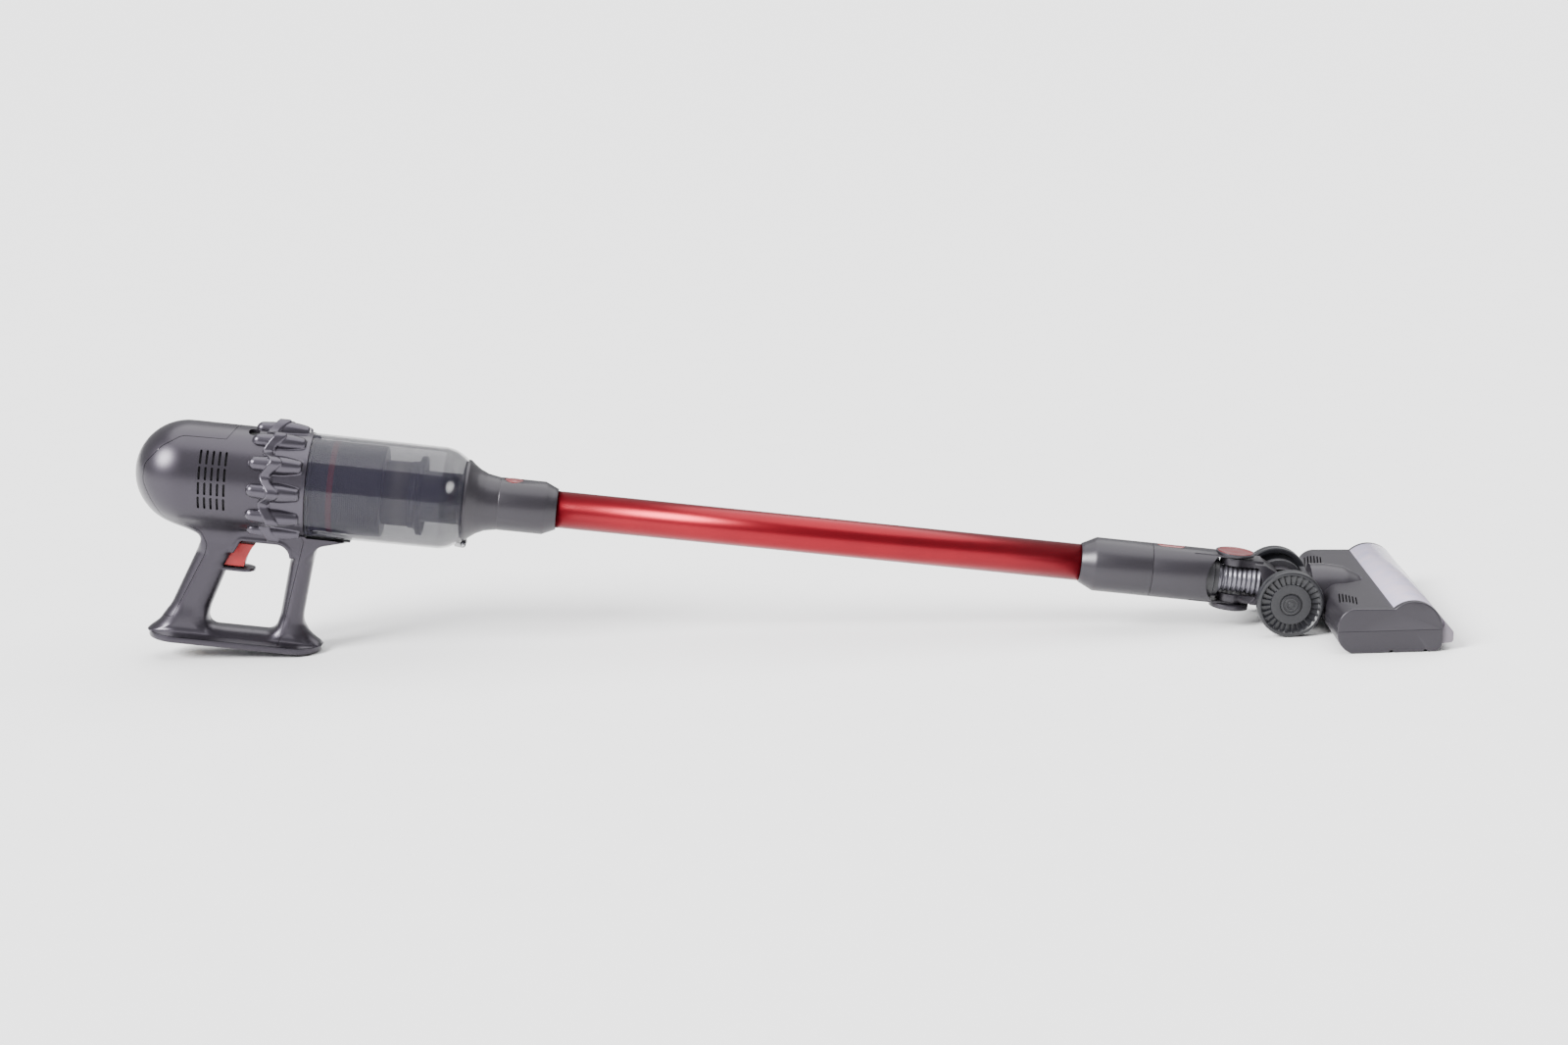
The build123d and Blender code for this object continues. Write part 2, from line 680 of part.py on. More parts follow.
with BuildPart() as wheel_carriage:
    with BuildSketch(Plane.XZ.offset(-20)):
        with Locations((AXLE_X, AXLE_Z)):
            Circle(24.5)
    extrude(amount=-8)
    add(cross_disc(AXLE_X, AXLE_Z, 8, 28, 42.6).part)
    mirror(about=Plane.XZ)
    with BuildSketch(Plane.YZ.offset(AXLE_X + 20.6)):
        with Locations((0, AXLE_Z - 2)):
            Rectangle(56, 36)
    extrude(amount=5)
    with BuildSketch(Plane.YZ.offset(AXLE_X + 25.6)):
        with Locations((0, NOSE_Z)):
            Circle(18)
    extrude(amount=12)
    with BuildSketch(Plane.YZ.offset(AXLE_X + 20)):
        with Locations((0, NOSE_Z)):
            Circle(13)
    extrude(amount=30, mode=Mode.SUBTRACT)
    add(cross_disc(AXLE_X, AXLE_Z, 4, -43, 43).part, mode=Mode.SUBTRACT)
save(wheel_carriage, "wheel_carriage")

# ---------------------------------------------------------------- floor head
HEAD_REAR = BRUSH_X - 69.5
WINDOW_X = BRUSH_X - 17.6
ROOF_Z = 42.0


# The head's closed side outline, drawn flat and placed across the head where it is used.
with BuildSketch() as head_outline:
    with BuildLine():
        Line((BRUSH_X - 57, 0), (BRUSH_X + 18, 0))
        ThreePointArc((BRUSH_X + 18, 0), (BRUSH_X + 24.2, 2.6), (BRUSH_X + HOUSING_R, 9))
        Line((BRUSH_X + HOUSING_R, 9), (BRUSH_X + HOUSING_R, BRUSH_Z))
        ThreePointArc((BRUSH_X + HOUSING_R, BRUSH_Z), (BRUSH_X, BRUSH_Z + HOUSING_R), (WINDOW_X, ROOF_Z - 1))
        Line((WINDOW_X, ROOF_Z - 1), (BRUSH_X - 54, ROOF_Z))
        ThreePointArc((BRUSH_X - 54, ROOF_Z), (BRUSH_X - 65.5, 36.3), (HEAD_REAR, 24))
        ThreePointArc((HEAD_REAR, 24), (BRUSH_X - 67, 8.5), (BRUSH_X - 57, 0))
    make_face()

with BuildPart() as nose_form:
    with BuildSketch(Plane.XZ):
        with BuildLine():
            Polyline((NOSE_REAR, NOSE_Z), (NOSE_REAR, NOSE_Z + 25.5), (NOSE_REAR + 14, NOSE_Z + 25.2),
                     (NOSE_REAR + 32, NOSE_Z + 22), (NOSE_REAR + 47, NOSE_Z + 14), (NOSE_REAR + 54, NOSE_Z + 6),
                     (NOSE_REAR + 54, NOSE_Z), close=True)
        make_face()
    revolve(axis=Axis((0, 0, NOSE_Z), (1, 0, 0)))

with BuildPart() as nose_room:
    with BuildSketch(Plane.YZ.offset(NOSE_REAR)):
        with Locations((0, NOSE_Z)):
            Circle(18 + RUN_FIT)
    extrude(amount=14)
    with BuildSketch(Plane.YZ.offset(NOSE_REAR + 14)):
        with Locations((0, NOSE_Z)):
            Circle(13)
    extrude(amount=26)

with BuildPart() as head_block:
    with BuildSketch(Plane.XZ):
        add(head_outline.sketch)
    extrude(amount=HEAD_HALF - CAP_THICK, both=True)

with BuildPart() as head_room:
    with BuildSketch(Plane.XZ):
        add(head_outline.sketch)
        offset(amount=-WALL, mode=Mode.REPLACE)
    extrude(amount=HEAD_HALF - CAP_THICK, both=True)

with BuildPart() as head_casing:
    add(head_block.part)
    add(head_room.part, mode=Mode.SUBTRACT)
    add(nose_form.part)
    add(nose_room.part, mode=Mode.SUBTRACT)

with BuildPart() as upper_rear:
    with BuildSketch(Plane.XY.offset(SEAM_Z)):
        with Locations((WINDOW_X - 150, 0)):
            Rectangle(300, 300)
    extrude(amount=60)

with BuildPart() as upper_front:
    with BuildSketch(Plane.XY.offset(SEAM_Z)):
        with Locations((WINDOW_X + 150, 0)):
            Rectangle(300, 300)
    extrude(amount=60)

with BuildPart() as head_cover:
    add(head_casing.part)
    add(upper_rear.part, mode=Mode.INTERSECT)
save(head_cover, "head_cover")

with BuildPart() as brush_window:
    add(head_casing.part)
    add(upper_front.part, mode=Mode.INTERSECT)
save(brush_window, "brush_window")

with BuildPart() as head_base:
    add(head_casing.part)
    add(upper_rear.part, mode=Mode.SUBTRACT)
    add(upper_front.part, mode=Mode.SUBTRACT)
    # The wall behind the brush, open for the air in its middle and for the belt at one end.
    with BuildSketch(Plane.YZ.offset(BRUSH_X - 27)):
        with Locations((0, 11)):
            Rectangle(2 * (HEAD_HALF - CAP_THICK), 2 * (SEAM_Z - 11))
        with Locations((0, 14)):
            Rectangle(24, 16, mode=Mode.SUBTRACT)
        with Locations((-101, 14)):
            Rectangle(8, 16, mode=Mode.SUBTRACT)
    extrude(amount=2)
    # The mouth that the brush reaches the floor through.
    with BuildSketch(Plane.XY.offset(-1)):
        with Locations((BRUSH_X - 1, 0)):
            Rectangle(42, 200)
    extrude(amount=5, mode=Mode.SUBTRACT)
save(head_base, "head_base")

with BuildPart() as head_end_caps:
    with BuildSketch(Plane.XZ.offset(-(HEAD_HALF - CAP_THICK))):
        add(head_outline.sketch)
    extrude(amount=-CAP_THICK)
    fillet(head_end_caps.faces().sort_by(Axis.Y)[-1].edges(), 1.5)
    add(cross_disc(BRUSH_X, BRUSH_Z, 8, HEAD_HALF - CAP_THICK - 5, HEAD_HALF - CAP_THICK).part)
    add(cross_disc(BRUSH_X, BRUSH_Z, 4 + RUN_FIT, 100, HEAD_HALF - 4).part, mode=Mode.SUBTRACT)
    mirror(about=Plane.XZ)
save(head_end_caps, "head_end_caps")

with BuildPart() as front_bumper:
    with BuildSketch(Plane.XZ):
        with BuildLine():
            Polyline((BRUSH_X + HOUSING_R, 6), (BRUSH_X + 36, 7), (BRUSH_X + 37.5, 9), (BRUSH_X + 37.5, 17),
                     (BRUSH_X + 30, 26), (BRUSH_X + HOUSING_R, 20.5), close=True)
        make_face()
    extrude(amount=HEAD_HALF - 4, both=True)
    with BuildSketch(Plane.XZ):
        add(head_outline.sketch)
    extrude(amount=HEAD_HALF, both=True, mode=Mode.SUBTRACT)
save(front_bumper, "front_bumper")

# ---------------------------------------------------------------- brush and its drive
BRISTLE_R = 20.2
BRISTLE_LEFT = 98.5
BRISTLE_RIGHT = -95.0
MOTOR_X = BRUSH_X - 44
with BuildPart() as brush_roller:
    add(cross_disc(BRUSH_X, BRUSH_Z, 12, -97, 106).part)
    add(cross_disc(BRUSH_X, BRUSH_Z, 4, -112, 112).part)
save(brush_roller, "brush_roller")

with BuildPart() as brush_bristles:
    with BuildSketch(Plane.XZ.offset(-BRISTLE_LEFT)):
        with Locations((BRUSH_X, BRUSH_Z)):
            with PolarLocations((12 + BRISTLE_R) / 2, 6):
                Rectangle(BRISTLE_R - 12 + 0.3, 3.2)
            Circle(12, mode=Mode.SUBTRACT)
    extrude(amount=BRISTLE_LEFT - BRISTLE_RIGHT)
save(brush_bristles, "brush_bristles")

with BuildPart() as brush_pulley:
    add(cross_disc(BRUSH_X, BRUSH_Z, 9, -104, -98).part)
    add(cross_disc(BRUSH_X, BRUSH_Z, 4, -104, -98).part, mode=Mode.SUBTRACT)
save(brush_pulley, "brush_pulley")

with BuildPart() as brush_motor:
    add(cross_disc(MOTOR_X, BRUSH_Z, 12.5, -94, -40).part)
    add(cross_disc(MOTOR_X, BRUSH_Z, 1.5 + RUN_FIT, -94, -80).part, mode=Mode.SUBTRACT)
save(brush_motor, "brush_motor")

with BuildPart() as motor_pulley:
    add(cross_disc(MOTOR_X, BRUSH_Z, 5, -104, -98).part)
    add(cross_disc(MOTOR_X, BRUSH_Z, 1.5, -98, -82).part)
save(motor_pulley, "motor_pulley")


def belt_loop(brush_radius, motor_radius):
    """The area inside a loop drawn tight round two circles."""
    with BuildSketch() as loop:
        with Locations((BRUSH_X, BRUSH_Z)):
            Circle(brush_radius)
        with Locations((MOTOR_X, BRUSH_Z)):
            Circle(motor_radius)
        make_hull()
    return loop


with BuildPart() as drive_belt:
    with BuildSketch(Plane.XZ.offset(103)):
        add(belt_loop(10.5, 6.5).sketch)
        add(belt_loop(9.3, 5.3).sketch, mode=Mode.SUBTRACT)
    extrude(amount=-4)
save(drive_belt, "drive_belt")
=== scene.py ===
"""Looks of the cordless stick vacuum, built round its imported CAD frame.

Two sets of axes are used. The row frame is the CAD's own, in metres. The tube frame runs along the
vacuum's body and wand, in millimetres: u from the back of the dome, y across, w square to the tube.
"""
import json
import math

import bmesh
import bpy
import numpy as np
from mathutils import Matrix, Vector

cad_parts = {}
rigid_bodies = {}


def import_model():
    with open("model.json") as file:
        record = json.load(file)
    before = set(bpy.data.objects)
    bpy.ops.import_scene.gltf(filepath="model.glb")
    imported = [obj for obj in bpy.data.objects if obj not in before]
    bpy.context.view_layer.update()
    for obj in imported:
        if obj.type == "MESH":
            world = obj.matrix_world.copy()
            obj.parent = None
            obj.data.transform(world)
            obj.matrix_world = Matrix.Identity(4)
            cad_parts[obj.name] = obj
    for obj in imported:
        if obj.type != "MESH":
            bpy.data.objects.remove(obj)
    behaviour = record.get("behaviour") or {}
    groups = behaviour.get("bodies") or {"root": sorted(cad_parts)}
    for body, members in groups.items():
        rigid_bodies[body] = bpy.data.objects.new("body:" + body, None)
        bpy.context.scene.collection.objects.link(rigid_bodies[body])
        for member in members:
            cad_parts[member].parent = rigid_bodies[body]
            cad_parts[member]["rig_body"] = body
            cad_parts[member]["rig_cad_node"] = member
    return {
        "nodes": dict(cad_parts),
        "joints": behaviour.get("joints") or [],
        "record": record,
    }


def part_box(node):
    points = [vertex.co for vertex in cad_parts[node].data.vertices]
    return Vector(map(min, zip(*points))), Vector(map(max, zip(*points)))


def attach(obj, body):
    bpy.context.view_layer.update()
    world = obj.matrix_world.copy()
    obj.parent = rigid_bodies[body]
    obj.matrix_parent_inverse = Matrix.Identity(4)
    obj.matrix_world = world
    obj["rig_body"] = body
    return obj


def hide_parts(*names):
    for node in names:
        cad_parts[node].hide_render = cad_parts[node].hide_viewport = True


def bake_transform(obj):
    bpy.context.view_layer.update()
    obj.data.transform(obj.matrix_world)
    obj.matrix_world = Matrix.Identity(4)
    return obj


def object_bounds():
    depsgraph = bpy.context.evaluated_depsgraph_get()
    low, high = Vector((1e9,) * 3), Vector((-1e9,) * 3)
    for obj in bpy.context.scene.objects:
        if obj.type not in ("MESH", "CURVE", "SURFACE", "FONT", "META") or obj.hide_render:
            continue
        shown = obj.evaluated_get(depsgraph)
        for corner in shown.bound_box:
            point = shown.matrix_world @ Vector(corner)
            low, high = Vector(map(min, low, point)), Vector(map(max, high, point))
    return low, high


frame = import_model()
CAD_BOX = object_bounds()
NODES = frame["nodes"]
JOINTS = {joint["name"]: joint for joint in frame["joints"]}
MM = 0.001

# ---------------------------------------------------------------- the tube frame
FAN_U = 120.0
ALONG = np.array(JOINTS["fan_spin"]["axis"], float)
RISE = np.array([-ALONG[2], 0, ALONG[0]])
ACROSS = np.array([0, 1.0, 0])
TIP = np.array(JOINTS["fan_spin"]["pos_m"], float) / MM - FAN_U * ALONG

# Driving dimensions, in millimetres in the tube frame.
BODY_R = 49.4
DOME_TRIM = 0.015  # keeps the dome inside the CAD's box
BODY_END = 124.0
WALL = 3.2
BIN_REAR = 164.0
HANDLE_HALF = 16.0
BASE_TOP = -154.4
FOOT_U = 103.5
FOOT_LONG = 163.0
FOOT_HALF = 27.0
SEAM = 0.22
EXHAUST_COLUMNS, EXHAUST_ROWS = 5, 4
EXHAUST_LONG, EXHAUST_WIDE = 12.2, 2.1
GUARD_R, GUARD_W, GUARD_HALF = 11.0, -87.1, 1.6
CYCLONES = 12
CYCLONE_OUT = 48.9
NOSE_U = 116.4
BAND_U, BAND_SWING, BAND_HALF = 126.5, 9.6, 5.2
BAND_FOOT, BAND_RISE = 51.38, 8.6
HOSE_PITCH, HOSE_START, HOSE_END = 4.3, 998.2, 1065.8
PIVOT = 1039.4
# The head's two slot groups: name, station from the dome's back along the row frame's x, and y.
VENTS = (("right", 1126.5, -78), ("left", 1120.5, 80))
VENT_SLOTS, VENT_LONG, VENT_WIDE, VENT_LEAN = 6, 27, 1.25, -0.14
VENT_STEP_X, VENT_STEP_Y = 2.5, 3.4


def to_row(points):
    """Tube-frame millimetres to row-frame metres."""
    p = np.asarray(points, float).reshape(-1, 3)
    return (TIP + p[:, :1] * ALONG + p[:, 1:2] * ACROSS + p[:, 2:3] * RISE) * MM


def row_mm(points):
    """Row-frame millimetres to row-frame metres."""
    return np.asarray(points, float).reshape(-1, 3) * MM


def upright(points):
    """Tube-frame (u, w, y) to row-frame metres, for a prism that rises along w."""
    return to_row(np.asarray(points)[:, [0, 2, 1]])


def upright_mm(points):
    """Row-frame (x, z, y) in millimetres to metres, for a prism that rises along z."""
    return row_mm(np.asarray(points)[:, [0, 2, 1]])


def joint_place(name):
    """Where a joint's axis stands, in row-frame millimetres."""
    return np.array(JOINTS[name]["pos_m"], float) / MM


# ---------------------------------------------------------------- mesh helpers
def mesh_object(name, points, faces, place=to_row):
    """A mesh object from points in the given frame and faces of any length."""
    mesh = bpy.data.meshes.new(name)
    mesh.from_pydata(place(points).tolist(), [], [list(map(int, f)) for f in faces])
    mesh.validate()
    piece = bpy.data.objects.new(name, mesh)
    bpy.context.scene.collection.objects.link(piece)
    return piece


def face_out(piece):
    """Turn every face outwards."""
    work = bmesh.new()
    work.from_mesh(piece.data)
    bmesh.ops.recalc_face_normals(work, faces=work.faces)
    work.to_mesh(piece.data)
    work.free()


def shade(piece, angle=35):
    """Smooth shading with edges sharper than the angle kept crisp."""
    piece.data.shade_smooth()
    piece.data.set_sharp_from_angle(angle=math.radians(angle))


def bevel(piece, width, segments=2, angle=32):
    """Round the sharp edges by the width in millimetres."""
    step = piece.modifiers.new("rounded", "BEVEL")
    step.width = width * MM
    step.segments = segments
    step.limit_method = "ANGLE"
    step.angle_limit = math.radians(angle)
    step.use_clamp_overlap = True
    step.harden_normals = False


def place_piece(piece, body, slot, material, *nodes, angle=35):
    """Finish a piece: its material, shading, body and the CAD nodes it stands for. The slot argument is not
    used.
    """
    piece.data.materials.clear()
    piece.data.materials.append(material)
    shade(piece, angle)
    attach(piece, body)
    if nodes:
        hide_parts(*nodes)


def settle(piece):
    """Apply a piece's modifiers to its mesh."""
    depsgraph = bpy.context.evaluated_depsgraph_get()
    mesh = bpy.data.meshes.new_from_object(piece.evaluated_get(depsgraph))
    piece.modifiers.clear()
    piece.data = mesh


def carve(piece, cutter, operation="DIFFERENCE"):
    """Cut one closed mesh with another, or keep only what they share."""
    step = piece.modifiers.new("cut", "BOOLEAN")
    step.operation = operation
    step.solver = "MANIFOLD"
    step.object = cutter
    settle(piece)
    bpy.data.objects.remove(cutter)


def copy_of(piece, name):
    """An independent copy of a piece."""
    twin = piece.copy()
    twin.data = piece.data.copy()
    twin.name = name
    bpy.context.scene.collection.objects.link(twin)
    return twin


def rounded(points, radii, steps=8):
    """A closed outline with its corners rounded, as a list of points."""
    out = []
    count = len(points)
    for i, (corner, radius) in enumerate(zip(points, radii)):
        corner = np.array(corner, float)
        if radius == 0:
            out.append(corner)
            continue
        back = np.array(points[i - 1], float) - corner
        ahead = np.array(points[(i + 1) % count], float) - corner
        back /= np.linalg.norm(back)
        ahead /= np.linalg.norm(ahead)
        half = math.acos(np.clip(back @ ahead, -1, 1)) / 2
        middle = (back + ahead) / np.linalg.norm(back + ahead)
        centre = corner + middle * radius / math.sin(half)
        first = corner + back * radius / math.tan(half) - centre
        last = corner + ahead * radius / math.tan(half) - centre
        turn = math.atan2(first[0] * last[1] - first[1] * last[0], first @ last)
        for k in range(steps + 1):
            a = turn * k / steps
            out.append(centre + [first[0] * math.cos(a) - first[1] * math.sin(a),
                                 first[0] * math.sin(a) + first[1] * math.cos(a)])
    return np.array(out)


def slot_outline(u, w, long, wide, lean=0.0, steps=6):
    """A slot with round ends, its length along w before it leans."""
    reach = (long - wide) / 2
    out = []
    for side in (1, -1):
        for k in range(steps + 1):
            a = math.pi * k / steps + (0 if side > 0 else math.pi)
            out.append((math.cos(a) * wide / 2, side * reach + math.sin(a) * wide / 2))
    c, s = math.cos(lean), math.sin(lean)
    return np.array([(u + x * c - z * s, w + x * s + z * c) for x, z in out])


def prism(name, outline, y_low, y_high, place=to_row):
    """A closed solid with a side outline, from one station across to another."""
    n = len(outline)
    points = [(a, y, b) for y in (y_low, y_high) for a, b in outline]
    faces = [list(range(n)), list(range(2 * n - 1, n - 1, -1))]
    faces += [(i, n + i, n + (i + 1) % n, (i + 1) % n) for i in range(n)]
    piece = mesh_object(name, points, faces, place)
    face_out(piece)
    return piece


def joined(name, pieces):
    """Several pieces made into one mesh."""
    work = bmesh.new()
    for piece in pieces:
        work.from_mesh(piece.data)
        bpy.data.objects.remove(piece)
    mesh = bpy.data.meshes.new(name)
    work.to_mesh(mesh)
    work.free()
    made = bpy.data.objects.new(name, mesh)
    bpy.context.scene.collection.objects.link(made)
    return made


def lathe(name, profile, place=to_row, segments=96, centre=(0, 0, 0), axis="u", relief=None):
    """A closed profile of (station, radius) points turned about an axis along u, y or w."""
    profile = np.asarray(profile, float)
    turns = np.arange(segments) * 2 * math.pi / segments
    rows = []
    for turn in turns:
        station, radius = profile[:, 0].copy(), profile[:, 1].copy()
        if relief is not None:
            station, radius = relief(turn, station, radius)
        flat, up = radius * math.sin(turn), radius * math.cos(turn)
        if axis == "u":
            rows.append(np.stack([station, flat, up], 1))
        elif axis == "y":
            rows.append(np.stack([flat, station, up], 1))
        else:
            rows.append(np.stack([up, flat, station], 1))
    points = np.concatenate(rows) + np.array(centre, float)
    n = len(profile)
    faces = []
    for s in range(segments):
        a, b = s * n, ((s + 1) % segments) * n
        for i in range(n):
            j = (i + 1) % n
            faces.append((a + i, a + j, b + j, b + i))
    piece = mesh_object(name, points, faces, place)
    work = bmesh.new()
    work.from_mesh(piece.data)
    bmesh.ops.remove_doubles(work, verts=work.verts, dist=1e-6)
    bmesh.ops.dissolve_degenerate(work, edges=work.edges, dist=1e-7)
    bmesh.ops.recalc_face_normals(work, faces=work.faces)
    work.to_mesh(piece.data)
    work.free()
    return piece


# ---------------------------------------------------------------- signed distances and their surface
def smooth_min(a, b, k):
    """Union of two distances with a soft fillet of size k."""
    h = np.clip(0.5 + 0.5 * (b - a) / k, 0, 1)
    return b * (1 - h) + a * h - k * h * (1 - h)


def smooth_max(a, b, k):
    """Shared part of two distances with a soft edge of size k."""
    return -smooth_min(-a, -b, k)


def ease(x):
    """A smooth step from 0 to 1."""
    x = np.clip(x, 0, 1)
    return x * x * (3 - 2 * x)


def outline_distance(outline, u, w):
    """Distance to a closed outline, negative inside it."""
    best = np.full(u.shape, 1e9)
    odd = np.zeros(u.shape, bool)
    for (u0, w0), (u1, w1) in zip(outline, np.roll(outline, -1, 0)):
        du, dw = u1 - u0, w1 - w0
        t = np.clip(((u - u0) * du + (w - w0) * dw) / max(du * du + dw * dw, 1e-12), 0, 1)
        best = np.minimum(best, (u - u0 - t * du) ** 2 + (w - w0 - t * dw) ** 2)
        if w0 != w1:
            odd ^= ((w0 > w) != (w1 > w)) & (u < u0 + du * (w - w0) / dw)
    return np.where(odd, -1, 1) * np.sqrt(best)


class Chart:
    """A side outline's distance, sampled once and then looked up."""

    def __init__(self, outline, low, high, step=0.5):
        self.low, self.step = np.array(low, float), step
        u = np.arange(low[0], high[0] + step, step)
        w = np.arange(low[1], high[1] + step, step)
        self.values = outline_distance(outline, u[:, None] + 0 * w[None], w[None] + 0 * u[:, None])

    def __call__(self, u, w):
        a = np.clip((u - self.low[0]) / self.step, 0, self.values.shape[0] - 1.001)
        b = np.clip((w - self.low[1]) / self.step, 0, self.values.shape[1] - 1.001)
        i, j = a.astype(int), b.astype(int)
        a, b = a - i, b - j
        v = self.values
        return ((v[i, j] * (1 - a) + v[i + 1, j] * a) * (1 - b)
                + (v[i, j + 1] * (1 - a) + v[i + 1, j + 1] * a) * b)


def surface_of(name, distance, low, high, step, rounds=2):
    """A closed quad mesh over the zero level of a distance function, with its corners pulled onto it."""
    axes = [np.arange(a, b + step, step) for a, b in zip(low, high)]
    field = distance(axes[0][:, None, None], axes[1][None, :, None], axes[2][None, None, :])
    field = np.broadcast_to(field, [len(a) for a in axes])
    shape = tuple(n - 1 for n in field.shape)
    cells, places, rings = [], [], []
    for axis in range(3):
        first = [slice(None)] * 3
        second = [slice(None)] * 3
        first[axis], second[axis] = slice(None, -1), slice(1, None)
        f0, f1 = field[tuple(first)], field[tuple(second)]
        at = np.argwhere((f0 < 0) != (f1 < 0))
        v0, v1 = f0[tuple(at.T)], f1[tuple(at.T)]
        point = at.astype(float)
        point[:, axis] += v0 / (v0 - v1)
        side_a, side_b = [k for k in range(3) if k != axis]
        ring = []
        for da, db in ((0, 0), (1, 0), (1, 1), (0, 1)):
            cell = at.copy()
            cell[:, side_a] -= da
            cell[:, side_b] -= db
            ring.append(np.ravel_multi_index(tuple(cell.T), shape))
            cells.append(ring[-1])
            places.append(point)
        ring = np.stack(ring, 1)
        turned = (v0 < 0) == (axis == 1)
        ring[turned] = ring[turned][:, ::-1]
        rings.append(ring)
    cells, places = np.concatenate(cells), np.concatenate(places)
    used, index = np.unique(cells, return_inverse=True)
    share = np.bincount(index).astype(float)
    points = np.stack([np.bincount(index, places[:, k]) / share for k in range(3)], 1) * step + low
    for _ in range(rounds):
        value = distance(*points.T)
        slope = np.stack([distance(*(points + d).T) - value for d in np.eye(3) * 0.05], 1) / 0.05
        move = -value[:, None] * slope / np.maximum((slope ** 2).sum(1), 0.2)[:, None]
        points += np.clip(move, -0.5 * step, 0.5 * step)
    faces = np.searchsorted(used, np.concatenate(rings))
    return mesh_object(name, points, faces)


# ---------------------------------------------------------------- materials
GLOSSY_COAT, SATIN_COAT = 0.12, 0.28


def finish_of(name, colour, rough=0.4, metal=0.0, vary=0.12, size=1.2, bump=0.02, edge_highlight=0.0,
              coat=0.0, alpha=1.0, kind="noise", second=None):
    """A moulded or metal finish whose colour, gloss and grain vary at a real size in millimetres."""
    material = bpy.data.materials.new(name)
    material.use_nodes = True
    tree = material.node_tree
    nodes, links = tree.nodes, tree.links
    shader = nodes["Principled BSDF"]
    shader.inputs["Metallic"].default_value = metal
    shader.inputs["Coat Weight"].default_value = coat
    glossy = alpha < 1 or rough < 0.2
    shader.inputs["Coat Roughness"].default_value = GLOSSY_COAT if glossy else SATIN_COAT
    shader.inputs["Alpha"].default_value = alpha

    place = nodes.new("ShaderNodeTexCoord")
    scale = nodes.new("ShaderNodeMapping")
    scale.inputs["Scale"].default_value = [1 / (size * MM)] * 3
    links.new(place.outputs["Object"], scale.inputs["Vector"])

    if kind == "cells":
        grain = nodes.new("ShaderNodeTexVoronoi")
        grain_value = grain.outputs["Distance"]
    elif kind == "rings":
        grain = nodes.new("ShaderNodeTexWave")
        grain.inputs["Scale"].default_value = 1.0
        grain.inputs["Distortion"].default_value = 0.4
        grain_value = grain.outputs["Fac"]
    else:
        grain = nodes.new("ShaderNodeTexNoise")
        grain.inputs["Scale"].default_value = 1.0
        grain.inputs["Detail"].default_value = 3.0
        grain_value = grain.outputs["Fac"]
    links.new(scale.outputs["Vector"], grain.inputs["Vector"])

    cloud = nodes.new("ShaderNodeTexNoise")
    cloud.inputs["Scale"].default_value = 22.0
    cloud.inputs["Detail"].default_value = 4.0
    links.new(place.outputs["Object"], cloud.inputs["Vector"])

    both = nodes.new("ShaderNodeMath")
    both.operation = "MULTIPLY_ADD"
    both.inputs[1].default_value = 0.65
    links.new(grain_value, both.inputs[0])
    soft = nodes.new("ShaderNodeMath")
    soft.operation = "MULTIPLY"
    soft.inputs[1].default_value = 0.35
    links.new(cloud.outputs["Fac"], soft.inputs[0])
    links.new(soft.outputs["Value"], both.inputs[2])

    ramp = nodes.new("ShaderNodeValToRGB")
    ramp.color_ramp.elements[0].position = 0.25
    ramp.color_ramp.elements[1].position = 0.75
    ramp.color_ramp.elements[0].color = [c * (1 - vary) for c in colour] + [1]
    ramp.color_ramp.elements[1].color = [min(1, c * (1 + vary)) for c in second or colour] + [1]
    links.new(both.outputs["Value"], ramp.inputs["Fac"])
    tint = ramp.outputs["Color"]
    # Painted highlight: convex edges, picked out by pointiness, are mixed towards a lighter colour.
    if edge_highlight:
        edge = nodes.new("ShaderNodeNewGeometry")
        edge_ramp = nodes.new("ShaderNodeValToRGB")
        edge_ramp.color_ramp.elements[0].position = 0.53
        edge_ramp.color_ramp.elements[1].position = 0.64
        links.new(edge.outputs["Pointiness"], edge_ramp.inputs["Fac"])
        share = nodes.new("ShaderNodeMath")
        share.operation = "MULTIPLY"
        share.inputs[1].default_value = edge_highlight
        links.new(edge_ramp.outputs["Color"], share.inputs[0])
        edge_highlight_mix = nodes.new("ShaderNodeMix")
        edge_highlight_mix.data_type = "RGBA"
        edge_highlight_mix.inputs["B"].default_value = [min(1, c * 1.7 + 0.03) for c in colour] + [1]
        links.new(share.outputs["Value"], edge_highlight_mix.inputs["Factor"])
        links.new(tint, edge_highlight_mix.inputs["A"])
        tint = edge_highlight_mix.outputs["Result"]
    links.new(tint, shader.inputs["Base Color"])

    gloss = nodes.new("ShaderNodeMapRange")
    gloss.inputs["To Min"].default_value = max(0.02, rough - 0.05)
    gloss.inputs["To Max"].default_value = rough + 0.05
    links.new(both.outputs["Value"], gloss.inputs["Value"])
    links.new(gloss.outputs["Result"], shader.inputs["Roughness"])

    if bump:
        relief = nodes.new("ShaderNodeBump")
        relief.inputs["Strength"].default_value = 0.6
        relief.inputs["Distance"].default_value = bump * MM
        links.new(grain_value, relief.inputs["Height"])
        links.new(relief.outputs["Normal"], shader.inputs["Normal"])
    return material


def srgb(red, green, blue):
    """A screen colour, 0 to 255, as the linear colour that shaders use."""
    return [c / 12.92 if c <= 0.04045 else ((c + 0.055) / 1.055) ** 2.4
            for c in (red / 255, green / 255, blue / 255)]


